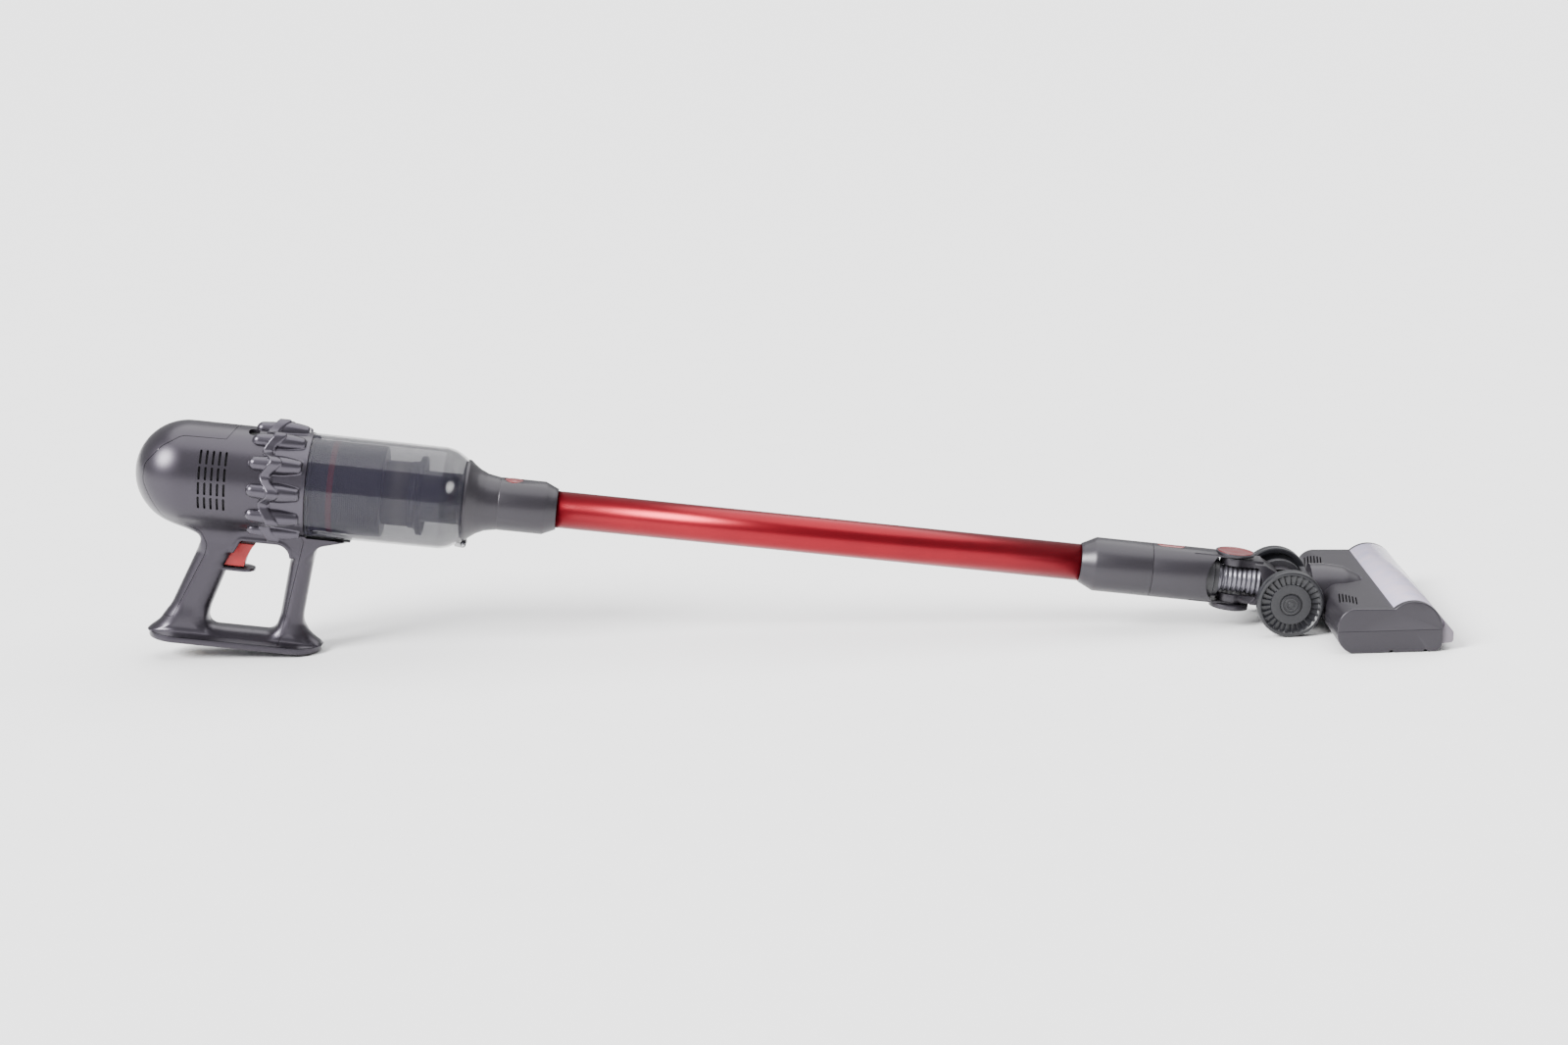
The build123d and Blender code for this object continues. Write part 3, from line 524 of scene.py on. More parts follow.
MATERIALS = {
    "metallic_shell": finish_of("painted shell", srgb(57, 53, 61), rough=0.36, metal=0.85, vary=0.09,
                                size=0.35, bump=0.006, coat=0.4),
    "crown_shell": finish_of("painted crown", srgb(70, 66, 75), rough=0.33, metal=0.88, vary=0.09,
                             size=0.35, bump=0.006, coat=0.4),
    "coupling_shell": finish_of("coupling plastic", srgb(44, 41, 47), rough=0.4, metal=0.5, vary=0.08,
                                size=0.4, bump=0.01, edge_highlight=0.12, coat=0.3),
    "head_shell": finish_of("head plastic", srgb(46, 43, 49), rough=0.4, metal=0.5, vary=0.08,
                            size=0.4, bump=0.012, edge_highlight=0.15, coat=0.2),
    "black_plastic": finish_of("black plastic", srgb(34, 33, 37), rough=0.42, vary=0.15, size=0.6,
                               bump=0.02),
    "shroud_plastic": finish_of("shroud plastic", srgb(20, 20, 30), rough=0.3, vary=0.12, size=0.8,
                                bump=0.01),
    "red_plastic": finish_of("red clear plastic", srgb(104, 3, 12), rough=0.2, vary=0.1, size=1.5, bump=0.004,
                             coat=0.6),
    "trigger_red": finish_of("trigger plastic", srgb(150, 8, 16), rough=0.42, vary=0.06, size=0.6,
                             bump=0.015),
    "red_metal": finish_of("red anodised tube", srgb(128, 2, 24), rough=0.3, metal=0.85, vary=0.28, size=0.7,
                           bump=0.008, kind="cells"),
    "smoky_clear": finish_of("smoky clear plastic", srgb(40, 38, 50), rough=0.06, vary=0.05, size=6.0,
                             bump=0.0, alpha=0.46, coat=0.15),
    "screen_mesh": finish_of("steel mesh", srgb(96, 91, 88), rough=0.45, metal=0.5, vary=0.5, size=0.8,
                             bump=0.15, kind="cells"),
    "hose_silver": finish_of("silver hose", srgb(112, 110, 118), rough=0.3, metal=0.55, vary=0.1, size=1.2,
                             bump=0.02),
    "milky_window": finish_of("milky window", srgb(176, 174, 204), rough=0.22, vary=0.02, size=14.0, bump=0.0,
                              alpha=0.88, coat=0.4, second=srgb(200, 184, 198)),
    "bumper_grey": finish_of("bumper rubber", srgb(112, 105, 114), rough=0.5, vary=0.07, size=0.6, bump=0.02),
    "wheel_black": finish_of("wheel plastic", srgb(24, 24, 28), rough=0.38, vary=0.14, size=0.7, bump=0.02,
                             edge_highlight=0.25),
    "steel": finish_of("steel", srgb(190, 190, 194), rough=0.28, metal=1.0, vary=0.1, size=0.5, bump=0.01),
    "brass_contact": finish_of("brass contact", srgb(206, 176, 104), rough=0.3, metal=1.0, vary=0.1,
                               size=0.5),
    "motor_metal": finish_of("motor casing", srgb(150, 150, 152), rough=0.35, metal=0.9, vary=0.1, size=0.6),
    "cell_wrap": finish_of("cell wrap", srgb(60, 110, 150), rough=0.35, vary=0.08, size=2.0),
    "circuit_board": finish_of("circuit board", srgb(26, 92, 52), rough=0.4, vary=0.3, size=2.5,
                               kind="cells"),
    "filter_fabric": finish_of("filter fabric", srgb(214, 212, 206), rough=0.9, vary=0.12, size=0.8,
                               bump=0.2),
    "seal_rubber": finish_of("seal rubber", srgb(40, 40, 44), rough=0.6, vary=0.12, size=0.8, bump=0.03),
    "belt_rubber": finish_of("belt rubber", srgb(32, 32, 34), rough=0.65, vary=0.12, size=1.2, bump=0.1,
                             kind="rings"),
    "bristle_fibre": finish_of("bristle fibre", srgb(70, 60, 74), rough=0.55, vary=0.3, size=0.5, bump=0.02),
}
MATERIALS["red_metal"].node_tree.nodes["Principled BSDF"].inputs["Coat Weight"].default_value = 0.25
# Painted shade: a near-black finish for sheets set behind slots, standing in for the shade in the spaces
# inside.
PAINTED_SHADE = finish_of("painted shade inside", srgb(16, 16, 18), rough=0.7, vary=0.2, size=1.5)

SLOT_OF = {part["node"]: part["material_slot"] for part in frame["record"]["subparts"]}

# ---------------------------------------------------------------- hand unit housing
FRAME_OUTLINE = rounded(
    [(30, -30), (68, -57), (36, -142), (24, -152), (23, BASE_TOP), (184, BASE_TOP), (184, -152), (165, -141),
     (174, -58), (203, -50), (203, -47.5), (160, 0), (60, 0)],
    [0, 9, 26, 3, 0, 0, 3, 14, 10, 0, 0, 0, 0])
FINGER_GAP = rounded(
    [(104, -58), (152, -58), (143, -146.5), (72, -146.5), (91, -88.9), (117.8, -88.9), (117.8, -85),
     (91, -85)],
    [2, 13, 12, 10, 1, 1.8, 1.8, 0])
SPINE_OUTSIDE = rounded(
    [(86, 41), (45, 40.6), (28, 30), (13, 11.9), (12, -4), (19, -18), (32, -39), (46, -44), (66, -50),
     (73, -64), (71.5, -74), (45, -137.5), (0, -140), (-10, 0), (0, 70), (110, 70)],
    [0, 16, 20, 16, 14, 20, 14, 12, 8, 8, 20, 0, 0, 0, 0, 0])
STRUT_OUTSIDE = np.array(
    [(160, -47.3), (163, -52.5), (158.2, -83.6), (145.5, -160), (205, -160), (215, -47.3)])

CHART_LOW, CHART_HIGH = (-12, -170), (222, 62)
frame_chart = Chart(FRAME_OUTLINE, CHART_LOW, CHART_HIGH)
gap_chart = Chart(FINGER_GAP, CHART_LOW, CHART_HIGH)


def dome_distance(u, across, radius):
    """Distance to the capsule of the body, round at the back."""
    return np.sqrt(np.minimum(u - BODY_R, 0) ** 2 + across) - radius


def housing_distance(u, y, w):
    """Distance to the hand unit's shells: dome, rounded handle frame and flared foot."""
    across = y * y + w * w
    gap = gap_chart(u + 0 * w, w + 0 * u)
    side = np.maximum(frame_chart(u + 0 * w, w + 0 * u), -gap)
    corner = 4.5 + 9.5 * ease((-61 - w) / 14)
    a, b = side + corner, np.abs(y) - HANDLE_HALF + corner
    legs = np.minimum(np.maximum(a, b), 0) + np.hypot(np.maximum(a, 0), np.maximum(b, 0)) - corner
    rise = np.clip((w - BASE_TOP) / 17.0, 0, 1)
    plan = np.hypot(np.maximum(np.abs(u - FOOT_U) - (FOOT_LONG / 2 - FOOT_HALF), 0), y) - FOOT_HALF
    plan = (plan + 14.5 * (1 - (1 - rise) ** 3) + 0 * w) * 0.6
    foot = np.maximum(smooth_max(plan, (w + 138.0) * 0.6, 6), BASE_TOP - w)
    foot = smooth_max(foot, -gap, 7)
    legs = smooth_min(legs, foot, 9)
    legs = np.maximum(legs, BASE_TOP - w)
    # A rolled rim follows the top of the finger opening.
    rim = np.hypot(gap - 2.0, np.abs(y) - 14.4) - 2.1
    rim = np.maximum(rim, (-70 - w) * 0.6)
    rim = np.maximum(rim, w + 52.5)
    legs = smooth_min(legs, rim, 1.6)
    soft = 3.5 + 12 * ease((112 - u) / 22)
    whole = smooth_min(legs, dome_distance(u, across, BODY_R - DOME_TRIM), soft)
    whole = np.maximum(whole, -np.maximum(gap, -52 - w + 0 * gap))
    # Hollow dome, and the space over the front leg where the crown, the bin and its runner sit.
    whole = np.maximum(whole, -np.maximum(dome_distance(u, across, BODY_R - WALL), WALL - u + 0 * w))
    reach = np.sqrt(across)
    whole = np.maximum(whole, -np.maximum(reach - BODY_R - 0.3, BODY_END - u))
    whole = np.maximum(whole, -np.maximum(reach - 51.3, 164.2 - u))
    # The round-ended finger guard under the trigger.
    guard = smooth_max(np.hypot(np.maximum(u - 107, 0), y) - GUARD_R, np.abs(w - GUARD_W) - GUARD_HALF, 0.8)
    whole = np.minimum(whole, np.maximum(guard, 84 - u))
    # The trigger's room in the rear leg.
    room = np.maximum(np.maximum(74 - u, u - 104), np.maximum(-85 - w, w + 61))
    return np.maximum(whole, -np.maximum(room, np.abs(y) - 8.6))


def loft_outline(outline, grow):
    """An outline moved outwards, or inwards where the amount is negative."""
    ahead = np.roll(outline, -1, 0) - outline
    behind = outline - np.roll(outline, 1, 0)
    tangent = (ahead / np.linalg.norm(ahead, axis=1)[:, None]
               + behind / np.linalg.norm(behind, axis=1)[:, None])
    tangent /= np.linalg.norm(tangent, axis=1)[:, None]
    x, z = outline.T
    area = 0.5 * np.sum(x * np.roll(z, -1) - z * np.roll(x, -1))
    normal = np.stack([tangent[:, 1], -tangent[:, 0]], 1) * (1 if area > 0 else -1)
    return outline + normal * grow


def make_housing():
    """The hand unit's four mouldings, cut from one form with a real seam between them."""
    step = 1.0
    whole = surface_of("hand_unit", housing_distance, (-3, -52, -157), (207, 52, 52.5), step)
    cutters = []
    for column in range(EXHAUST_COLUMNS):
        for row in range(EXHAUST_ROWS):
            from_middle = row - (EXHAUST_ROWS - 1) / 2
            u = 66.2 + 5.9 * column - 0.25 * from_middle
            w = 4 + 14.2 * from_middle
            outline = slot_outline(u, w, EXHAUST_LONG, EXHAUST_WIDE, lean=0.03)
            cutters.append(prism("slot", outline, -60, 60))
    for side in (-1, 1):
        outline = slot_outline(109.8, 12.9 * side, 12.6, 10.4)
        cutters.append(prism("recess", outline, 42, 58, upright))
    for column in range(8):
        for row in range(4):
            spot = slot_outline(79 + 2.3 * column, 2.4 * (row - 1.5), 0.95, 0.9, steps=3)
            cutters.append(prism("hole", spot, 44, 56, upright))
    carve(whole, joined("slots", cutters))
    spine, strut = copy_of(whole, "spine_moulding"), copy_of(whole, "strut_moulding")
    carve(spine, prism("c", loft_outline(SPINE_OUTSIDE, -SEAM), -70, 70), "INTERSECT")
    carve(strut, prism("c", loft_outline(STRUT_OUTSIDE, -SEAM), -70, 70), "INTERSECT")
    carve(whole, prism("c", loft_outline(SPINE_OUTSIDE, SEAM), -70, 70))
    carve(whole, prism("c", loft_outline(STRUT_OUTSIDE, SEAM), -70, 70))
    big = np.array([(-20, -180), (240, -180), (240, 80), (-20, 80)], float)
    left, right = copy_of(whole, "left_moulding"), copy_of(whole, "right_moulding")
    carve(left, prism("c", big, SEAM / 2, 80), "INTERSECT")
    carve(right, prism("c", big, -80, -SEAM / 2), "INTERSECT")
    bpy.data.objects.remove(whole)
    paint = MATERIALS["metallic_shell"]
    for piece, node in ((spine, "spine_cover"), (strut, "front_strut"), (left, "body_shell_left"),
                        (right, "body_shell_right")):
        place_piece(piece, "handheld", "metallic_shell", paint, node, angle=40)


def make_shade_sheet():
    """A dark sheet behind the exhaust slots and the recess: painted shade for the space inside the dome."""
    shade_sheet = lathe("vent_shade_sheet", [(52, 45.5), (52, 46.0), (123.4, 46.0), (123.4, 45.5)], segments=96)
    place_piece(shade_sheet, "handheld", "black_plastic", PAINTED_SHADE, angle=40)


# ---------------------------------------------------------------- cyclone crown
def crown_distance(u, y, w):
    """Distance to the ring of twelve cyclones with the wavy band that ties them together."""
    radius = np.sqrt(y * y + w * w)
    turn = np.arctan2(y + 0 * w, w + 0 * y)
    pitch = 2 * math.pi / CYCLONES
    local = turn - np.round(turn / pitch) * pitch
    side, out = radius * np.sin(local), radius * np.cos(local)
    share = np.abs(local) / (pitch / 2)

    ring = np.maximum(radius - 49.2, np.maximum(BODY_END - u, u - BIN_REAR))
    collar = np.maximum(radius - 50.4, np.maximum(BODY_END - u, u - 133))
    ring = np.minimum(ring, collar)

    # Blunt nose, lying on the dome.
    along = np.clip((u - 112) / 18, 0, 1)
    size = 6.3 + 1.4 * along
    nose = np.hypot(np.hypot(side, out - CYCLONE_OUT), np.minimum(u - NOSE_U, 0) * 0.95) - size
    nose = np.maximum(nose, u - 136)
    # Cone towards the bin.
    fall = np.clip((u - 139) / 20, 0, 1)
    cone = np.hypot(side, out - CYCLONE_OUT) - (9.0 - 2.9 * fall ** 1.6)
    cone = smooth_max(cone, u - 160.0, 3.0)
    cone = np.maximum(cone, 130 - u)
    body = smooth_min(ring, np.minimum(nose, cone), 1.6)

    # The band rides over each cyclone and drops to the ring, further back, between two of them.
    wave = ease(1 - share)
    centre = BAND_U + BAND_SWING * wave
    crest = radius - BAND_FOOT - BAND_RISE * np.cos(math.pi / 2 * share) ** 2
    band = smooth_max(crest * 0.8, (np.abs(u - centre) - BAND_HALF - 1.0 * wave) * 0.85, 2.2)
    band = np.maximum(band, 40 - radius)
    shape = np.minimum(body, band)
    # Hollow inside; clear of the dome behind and of the beam and the runner below.
    shape = np.maximum(shape, -np.maximum(radius - 47, np.maximum(BODY_END + WALL - u, u - BIN_REAR + WALL)))
    shape = np.maximum(shape, 31 - radius)
    shape = np.maximum(shape, -np.maximum(radius - BODY_R, u - BODY_END))
    return np.maximum(shape, -np.maximum(w + 46.5, np.abs(y) - 30))


def make_crown():
    """The cyclone crown as one moulding."""
    step = 0.65
    crown = surface_of("crown_moulding", crown_distance, (102, -64, -64), (166.5, 64, 64), step)
    place_piece(crown, "handheld", "crown_shell", MATERIALS["crown_shell"], "cyclone_crown", angle=42)


# ---------------------------------------------------------------- bin and what shows through it
def grooved(start, end, radius, depth, pitch):
    """Stations along a wall with shallow turned grooves."""
    points = []
    count = int(round((end - start) / pitch))
    for k in range(count):
        a = start + (end - start) * k / count
        points += [(a, radius), (a + pitch * 0.55, radius), (a + pitch * 0.7, radius - depth),
                   (a + pitch * 0.85, radius - depth)]
    return points + [(end, radius)]


def make_bin():
    """The smoky bin with turned ridges on its shoulder, its hinge lugs, and the grooved shroud inside it."""
    steps = 26
    shoulder = []
    for k in range(steps + 1):
        a = k / steps
        u = 290 + 20.0 * a
        r = 48.0 - 9.4 * a ** 1.75
        ridge = 0.62 if (k % 2 and k < steps) else 0
        shoulder.append((u, r - ridge))
    outer = [(164.3, 48.1), (164.7, 48.8), (172, 48.78), (230, 48.4)] + shoulder
    inner = [(308.4, 37.0), (304, 40.4), (298, 44.0), (290, 46.2), (230, 46.6), (164.3, 47.0)]
    clear = lathe("bin_shell", outer + inner, segments=128)
    place_piece(clear, "bin", "smoky_clear", MATERIALS["smoky_clear"], "dust_bin", angle=14)
    for side, name in ((-1, "right"), (1, "left")):
        near, far = sorted((side * 5.0, side * 9.0))
        turns = np.arange(0, 13) * math.pi / 12 - math.pi / 2
        nose = np.stack([311.5 + 2.8 * np.cos(turns), -41.6 + 2.8 * np.sin(turns)], 1)
        outline = np.concatenate([nose, [(306, -40.6), (303.5, -42.2), (303.5, -43.6)]])
        lug = prism(f"hinge_lug_{name}", outline, near, far)
        bevel(lug, 0.35)
        place_piece(lug, "bin", "smoky_clear", MATERIALS["smoky_clear"], angle=30)

    shroud = lathe("shroud_grooved", [(164, 30), (164, 43)] + grooved(166, 183.6, 43, 0.25, 2.2)
                   + [(184, 42.4), (188.6, 42.4)] + grooved(189, 232.5, 43, 0.25, 1.9)
                   + [(233.4, 42.6), (234, 41.8), (234, 24.2), (232, 24.2), (232, 41), (166, 41), (166, 30)],
                   segments=112)
    place_piece(shroud, "handheld", "shroud_plastic", MATERIALS["shroud_plastic"], "cyclone_shroud", angle=25)


def make_seal_band():
    """The red seal band that stands a little proud of the shroud."""
    profile = [(183.5, 41.6), (183.5, 43.1), (183.8, 43.4), (188.8, 43.4), (189.1, 43.1), (189.1, 41.6)]
    band = lathe("red_band_raised", profile, segments=112)
    place_piece(band, "handheld", "red_plastic", MATERIALS["red_plastic"], "red_seal_band", angle=40)


def make_springs():
    """The three return springs of the trigger and the two buttons."""
    for node, joint, name in (("trigger_spring", "trigger_pull", "trigger_coil"),
                              ("wand_button_spring", "wand_button_press", "wand_button_coil"),
                              ("head_button_spring", "head_button_press", "head_button_coil")):
        piece = from_node(node, name)
        piece.data.materials.clear()
        piece.data.materials.append(MATERIALS["steel"])
        shade(piece, 50)
        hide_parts(node)
        press = np.array(JOINTS[joint]["axis"], float)
        places = np.array([piece.matrix_world @ v.co for v in piece.data.vertices])
        reach = places @ press
        fixed, pushed = places[reach.argmax()], places[reach.argmin()]
        fixed = pushed + press * float((fixed - pushed) @ press)
        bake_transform(piece)


def make_wheels():
    """Both wheels: ring of slanted serrations, raised rim, plain disc and ringed hub."""
    axle = joint_place("wheel_left_spin")
    axle = np.array([axle[0], 0, axle[2]])
    radius = axle[2]
    teeth = 28
    profile = [(43, 4.1), (43, 9), (47.6, 9.4), (47.6, 25.6), (43.2, 26.6), (43, 27.5), (43, radius - 1.6),
               (43.5, radius - 0.5), (44.6, radius), (47, radius), (47.4, radius - 0.35),
               (47.9, radius - 0.35), (48.3, radius), (53.2, radius), (54.4, radius - 0.6),
               (55.0, radius - 1.9), (55.0, radius - 3.0), (54.3, radius - 3.7), (54.2, 26.4),
               (53.9, 25.8), (53.6, 20.4), (53.9, 19.4), (54.6, 18.8),
               (54.7, 12.2), (54.5, 10.6), (53.8, 10.1), (53.8, 9.7), (55.3, 9.4), (55.6, 8.6), (55.6, 7.6),
               (55.0, 7.2), (55.0, 6.4), (55.5, 6.0), (55.5, 4.4), (54.9, 4.0), (54.9, 3.0), (55.4, 2.6),
               (55.4, 0), (53.2, 0), (53.2, 4.05)]
    profile = np.array(profile)
    band = (profile[:, 1] > 19.3) & (profile[:, 1] < 26.5) & (profile[:, 0] > 53)

    def serrated(turn, station, across):
        part = (turn * teeth / (2 * math.pi)) % 1.0
        drop = 1.7 * max(0, 1 - part * 1.25)
        station[band] -= drop
        return station, across

    for side, name in ((1, "left"), (-1, "right")):
        mirrored = profile * [side, 1]
        wheel = lathe(f"{name}_wheel_turned", mirrored, row_mm, teeth * 8, axle, "y",
                      lambda turn, s, r, side=side: (serrated(turn, s * side, r)[0] * side, r))
        place_piece(wheel, f"wheel_{name}", "wheel_black", MATERIALS["wheel_black"], f"wheel_{name}",
                    angle=24)


def make_hose():
    """The silver corrugated hose in the neck, and the black lining of its eye."""
    profile = []
    start, end = HOSE_START, HOSE_END
    count = int((end - start) / HOSE_PITCH)
    pitch = (end - start) / count
    for k in range(count):
        for part, lift in ((0.0, 0.0), (0.18, 0.25), (0.32, 0.85), (0.5, 1.0), (0.68, 0.85), (0.82, 0.25)):
            u = start + pitch * (k + part)
            narrowing, widening = float(ease((u - 1022) / 8)), float(ease((u - 1050) / 9))
            base = 15.3 - 3.2 * narrowing + 1.4 * widening
            profile.append((u, base + 1.5 * lift))
    profile += [(end, 11), (start, 11)]
    hose = lathe("hose_ribbed", profile, segments=72)
    hose.data.materials.append(MATERIALS["hose_silver"])
    shade(hose, 60)
    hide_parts("swivel_hose")
    rim = [(1003, 17.1), (1003, 22.8), (1011, 22.8), (1012.5, 20.9), (1019.5, 20.9), (1020.5, 19.0),
           (1024.4, 18.8), (1024.4, 17.3), (1019, 17.1)]
    lining = lathe("eye_lining", rim, segments=72)
    place_piece(lining, "connector", "black_plastic", MATERIALS["black_plastic"], angle=35)
    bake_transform(hose)


def make_brush():
    """Helical rows of bristle tufts round the roller."""
    spin = joint_place("brush_spin")
    low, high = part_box("brush_bristles")
    first, last = low.y / MM + 2, high.y / MM - 2
    rows, reach = 4, 19.6
    tufts = 60
    points, faces = [], []
    dice = np.random.default_rng(7)
    for row in range(rows):
        for k in range(tufts):
            y = first + (last - first) * (k + 0.5) / tufts
            turn = 2 * math.pi * row / rows + 2.4 * (k + 0.5) / tufts
            for _ in range(9):
                lean, twist = dice.uniform(-0.11, 0.11), dice.uniform(-0.9, 0.9)
                tip = reach + dice.uniform(-0.7, 0.3)
                base = len(points)
                for r, width in ((11.6, 0.26), (tip, 0.16)):
                    a = turn + (lean if r > 12 else lean * 0.4)
                    shift = twist * (1.0 if r > 12 else 0.5)
                    for corner in range(3):
                        c = 2 * math.pi * corner / 3
                        x = r * math.sin(a) + width * math.cos(c) * math.cos(a)
                        z = r * math.cos(a) - width * math.cos(c) * math.sin(a)
                        points.append((spin[0] + x, y + shift + width * math.sin(c), spin[2] + z))
                faces += [(base, base + 1, base + 2), (base + 5, base + 4, base + 3)]
                faces += [(base + i, base + (i + 1) % 3, base + 3 + (i + 1) % 3, base + 3 + i)
                          for i in range(3)]
    tuft = mesh_object("bristle_tufts", points, faces, row_mm)
    face_out(tuft)
    place_piece(tuft, "brush", "bristle_fibre", MATERIALS["bristle_fibre"], "brush_bristles", angle=50)


def make_buttons():
    """The dished wand release button and the red lens on the neck's cap."""
    dish = [(21.6, 0), (21.6, 9.1), (23.3, 9.15), (23.9, 8.7), (24.1, 8.1), (23.8, 7.3), (23.9, 6.6),
            (24.6, 4.5), (24.95, 2.2), (25.0, 0)]
    button = lathe("wand_button_dished", dish, segments=64, centre=(354, 0, 0), axis="w")
    place_piece(button, "wand_button", "red_plastic", MATERIALS["red_plastic"], "wand_release_button",
                angle=30)
    dish = [(25.8, 0), (25.8, 16.7), (26.25, 16.7), (26.4, 16.3), (26.4, 15.7), (26.05, 15.1), (25.95, 9),
            (26.05, 5), (26.2, 2.5), (26.2, 0)]
    lens = lathe("neck_lens_dished", dish, segments=80, centre=(PIVOT, 0, 0), axis="w")
    place_piece(lens, "swivel", "red_plastic", MATERIALS["red_plastic"], "swivel_lens", angle=30)


def from_node(node, name):
    """A welded, closed copy of a CAD node's mesh, as the start of a finer piece."""
    piece = copy_of(NODES[node], name)
    piece.parent = None
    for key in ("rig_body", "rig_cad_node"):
        if key in piece:
            del piece[key]
    work = bmesh.new()
    work.from_mesh(piece.data)
    bmesh.ops.remove_doubles(work, verts=work.verts, dist=2e-6)
    bmesh.ops.recalc_face_normals(work, faces=work.faces)
    work.to_mesh(piece.data)
    work.free()
    if piece.data.has_custom_normals:
        with bpy.context.temp_override(object=piece, active_object=piece, selected_objects=[piece]):
            bpy.ops.mesh.customdata_custom_splitnormals_clear()
    return piece


def make_head():
    """The head's cover with its two slanted slot groups, a dark plate of painted shade behind each, and the
    end caps with seam and sole notches."""
    tip = TIP[0]
    cover = from_node("head_cover", "head_cover_slotted")
    cutters = []
    for _, station, centre_y in VENTS:
        centre_x = tip + station
        for k in range(VENT_SLOTS):
            from_middle = k - (VENT_SLOTS - 1) / 2
            x, y = centre_x + VENT_STEP_X * from_middle, centre_y - VENT_STEP_Y * from_middle
            outline = slot_outline(x, y, VENT_LONG, VENT_WIDE, lean=VENT_LEAN)
            cutters.append(prism("slot", outline, 30, 50, upright_mm))
    carve(cover, joined("slots", cutters))
    # Painted shade: a near-black plate under each slot group stands in for the shade inside the head.
    for name, station, centre_y in VENTS:
        centre_x = tip + station
        corners = [(centre_x + a * 9, centre_y + b * 24) for a, b in ((-1, -1), (1, -1), (1, 1), (-1, 1))]
        plate = rounded(corners, [2] * 4, steps=4)
        shade_plate = prism(f"vent_shade_plate_{name}", plate, 32.0, 34.0, upright_mm)
        place_piece(shade_plate, "head", "black_plastic", PAINTED_SHADE)
    bevel(cover, 0.5)
    place_piece(cover, "head", "head_shell", MATERIALS["head_shell"], "head_cover", angle=30)

    caps = from_node("head_end_caps", "head_caps_seamed")
    low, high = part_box("head_end_caps")
    cutters = []
    seam = 20.7
    for side in (-1, 1):
        near, far = sorted((side * (high.y / MM - 0.5), side * (high.y / MM + 2)))
        box = np.array([(low.x / MM - 3, seam - 0.2), (high.x / MM + 3, seam - 0.2),
                        (high.x / MM + 3, seam + 0.2), (low.x / MM - 3, seam + 0.2)])
        cutters.append(prism("seam", box, near, far, row_mm))
        for spot in (1159.7, 1190.8):
            turns = np.arange(20) * 2 * math.pi / 20
            ring = np.stack([tip + spot + 2.2 * np.cos(turns), 0.1 + 2.2 * np.sin(turns)], 1)
            near, far = sorted((side * (high.y / MM - 9), side * (high.y / MM + 3)))
            cutters.append(prism("notch", ring, near, far, row_mm))
    carve(caps, joined("cuts", cutters))
    bevel(caps, 0.35)
    place_piece(caps, "head", "head_shell", MATERIALS["head_shell"], "head_end_caps", angle=30)


# ---------------------------------------------------------------- CAD nodes carried over
ROUNDING = {
    "base_plate": 0.5, "bin_lid": 0.35, "rear_coupling": 0.5, "front_coupling": 0.5, "head_connector": 0.5,
    "head_release_button": 0.4, "swivel_caps": 0.5, "swivel_neck": 1.2, "wheel_carriage": 0.8,
    "head_base": 0.5, "front_bumper": 0.8, "trigger": 0.8, "bin_runner": 0.4, "bin_catch": 0.4,
    "shroud_skirt": 0.4, "brush_window": 0.3,
}


def dress_nodes():
    """Weld, round and paint the CAD nodes that still show."""
    for name, node in NODES.items():
        node.data.materials.clear()
        node.data.materials.append(MATERIALS[SLOT_OF[name]])
        if node.hide_render:
            continue
        weld = node.modifiers.new("weld", "WELD")
        weld.merge_threshold = 2e-6
        if name in ROUNDING:
            bevel(node, ROUNDING[name])
        shade(node, 30)


# ---------------------------------------------------------------- floor, light and camera
# Name, direction, angular width in degrees and power: a key light from the left and in front, and a
# broad soft one from above.
LIGHTS = (("key", (-0.69, -0.47, 0.60), 26, 8.2), ("fill", (0.2, 0.2, 0.95), 80, 4.2))
FLOOR_REACH, FLOOR_GAP = 60.0, 0.0004
CAMERA_TARGET, CAMERA_AWAY = (-0.00186, 0, 0.11144), 3.0
CAMERA_RISE, CAMERA_LEAN = math.radians(13), math.radians(1.64)
CAMERA_LENS, CAMERA_SENSOR = 72.9, 36.0
WORLD_COLOUR, WORLD_POWER = (0.92, 0.92, 0.94, 1), 0.6


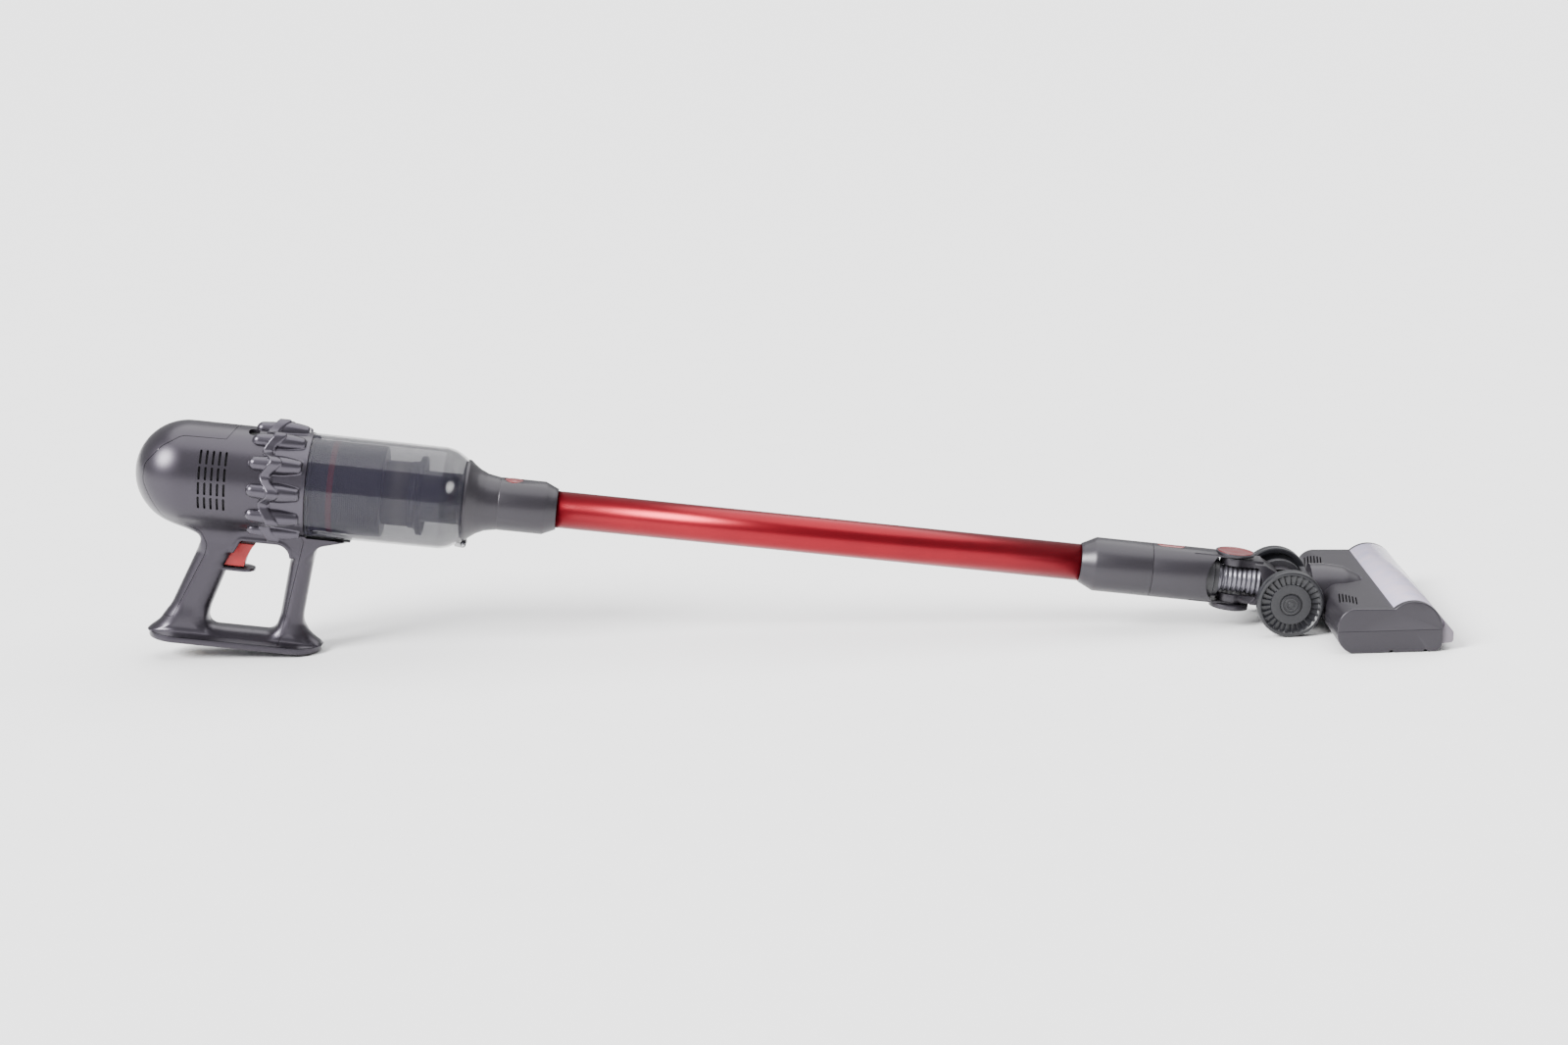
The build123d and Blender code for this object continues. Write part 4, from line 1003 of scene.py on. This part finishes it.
def make_stage():
    """A plain pale floor, soft studio lights and the camera."""
    floor_mesh = bpy.data.meshes.new("floor")
    reach = FLOOR_REACH
    floor_mesh.from_pydata([(-reach, -reach, 0), (reach, -reach, 0), (reach, reach, 0), (-reach, reach, 0)],
                           [], [(0, 1, 2, 3)])
    floor = bpy.data.objects.new("floor", floor_mesh)
    floor.location.z = CAD_BOX[0].z - FLOOR_GAP
    bpy.context.scene.collection.objects.link(floor)
    pale = finish_of("pale floor", (0.93, 0.93, 0.93), rough=0.7, vary=0.01, size=60, bump=0)
    floor.data.materials.append(pale)

    world = bpy.data.worlds.new("studio")
    bpy.context.scene.world = world
    world.use_nodes = True
    world.node_tree.nodes["Background"].inputs["Color"].default_value = WORLD_COLOUR
    world.node_tree.nodes["Background"].inputs["Strength"].default_value = WORLD_POWER

    for name, direction, width, power in LIGHTS:
        lamp = bpy.data.lights.new(name, "SUN")
        lamp.angle = math.radians(width)
        lamp.energy = power
        light = bpy.data.objects.new(name, lamp)
        bpy.context.scene.collection.objects.link(light)
        light.rotation_mode = "QUATERNION"
        light.rotation_quaternion = Vector(direction).to_track_quat("Z", "Y")

    # The camera looks a little down on the near side and leans slightly.
    rise, lean = CAMERA_RISE, CAMERA_LEAN
    across = Vector((1, 0, 0))
    upward = Vector((0, math.sin(rise), math.cos(rise)))
    back = Vector((0, -math.cos(rise), math.sin(rise)))
    right = across * math.cos(lean) - upward * math.sin(lean)
    up = upward * math.cos(lean) + across * math.sin(lean)
    lens = bpy.data.cameras.new("camera")
    lens.sensor_width = CAMERA_SENSOR
    lens.lens = CAMERA_LENS
    camera = bpy.data.objects.new("camera", lens)
    bpy.context.scene.collection.objects.link(camera)
    camera.matrix_world = Matrix([(right.x, up.x, back.x, 0), (right.y, up.y, back.y, 0),
                                  (right.z, up.z, back.z, 0), (0, 0, 0, 1)])
    camera.location = Vector(CAMERA_TARGET) + back * CAMERA_AWAY
    bpy.context.scene.camera = camera


make_housing()
make_shade_sheet()
make_crown()
make_bin()
make_seal_band()
make_springs()
make_wheels()
make_hose()
make_brush()
make_buttons()
make_head()
dress_nodes()
make_stage()
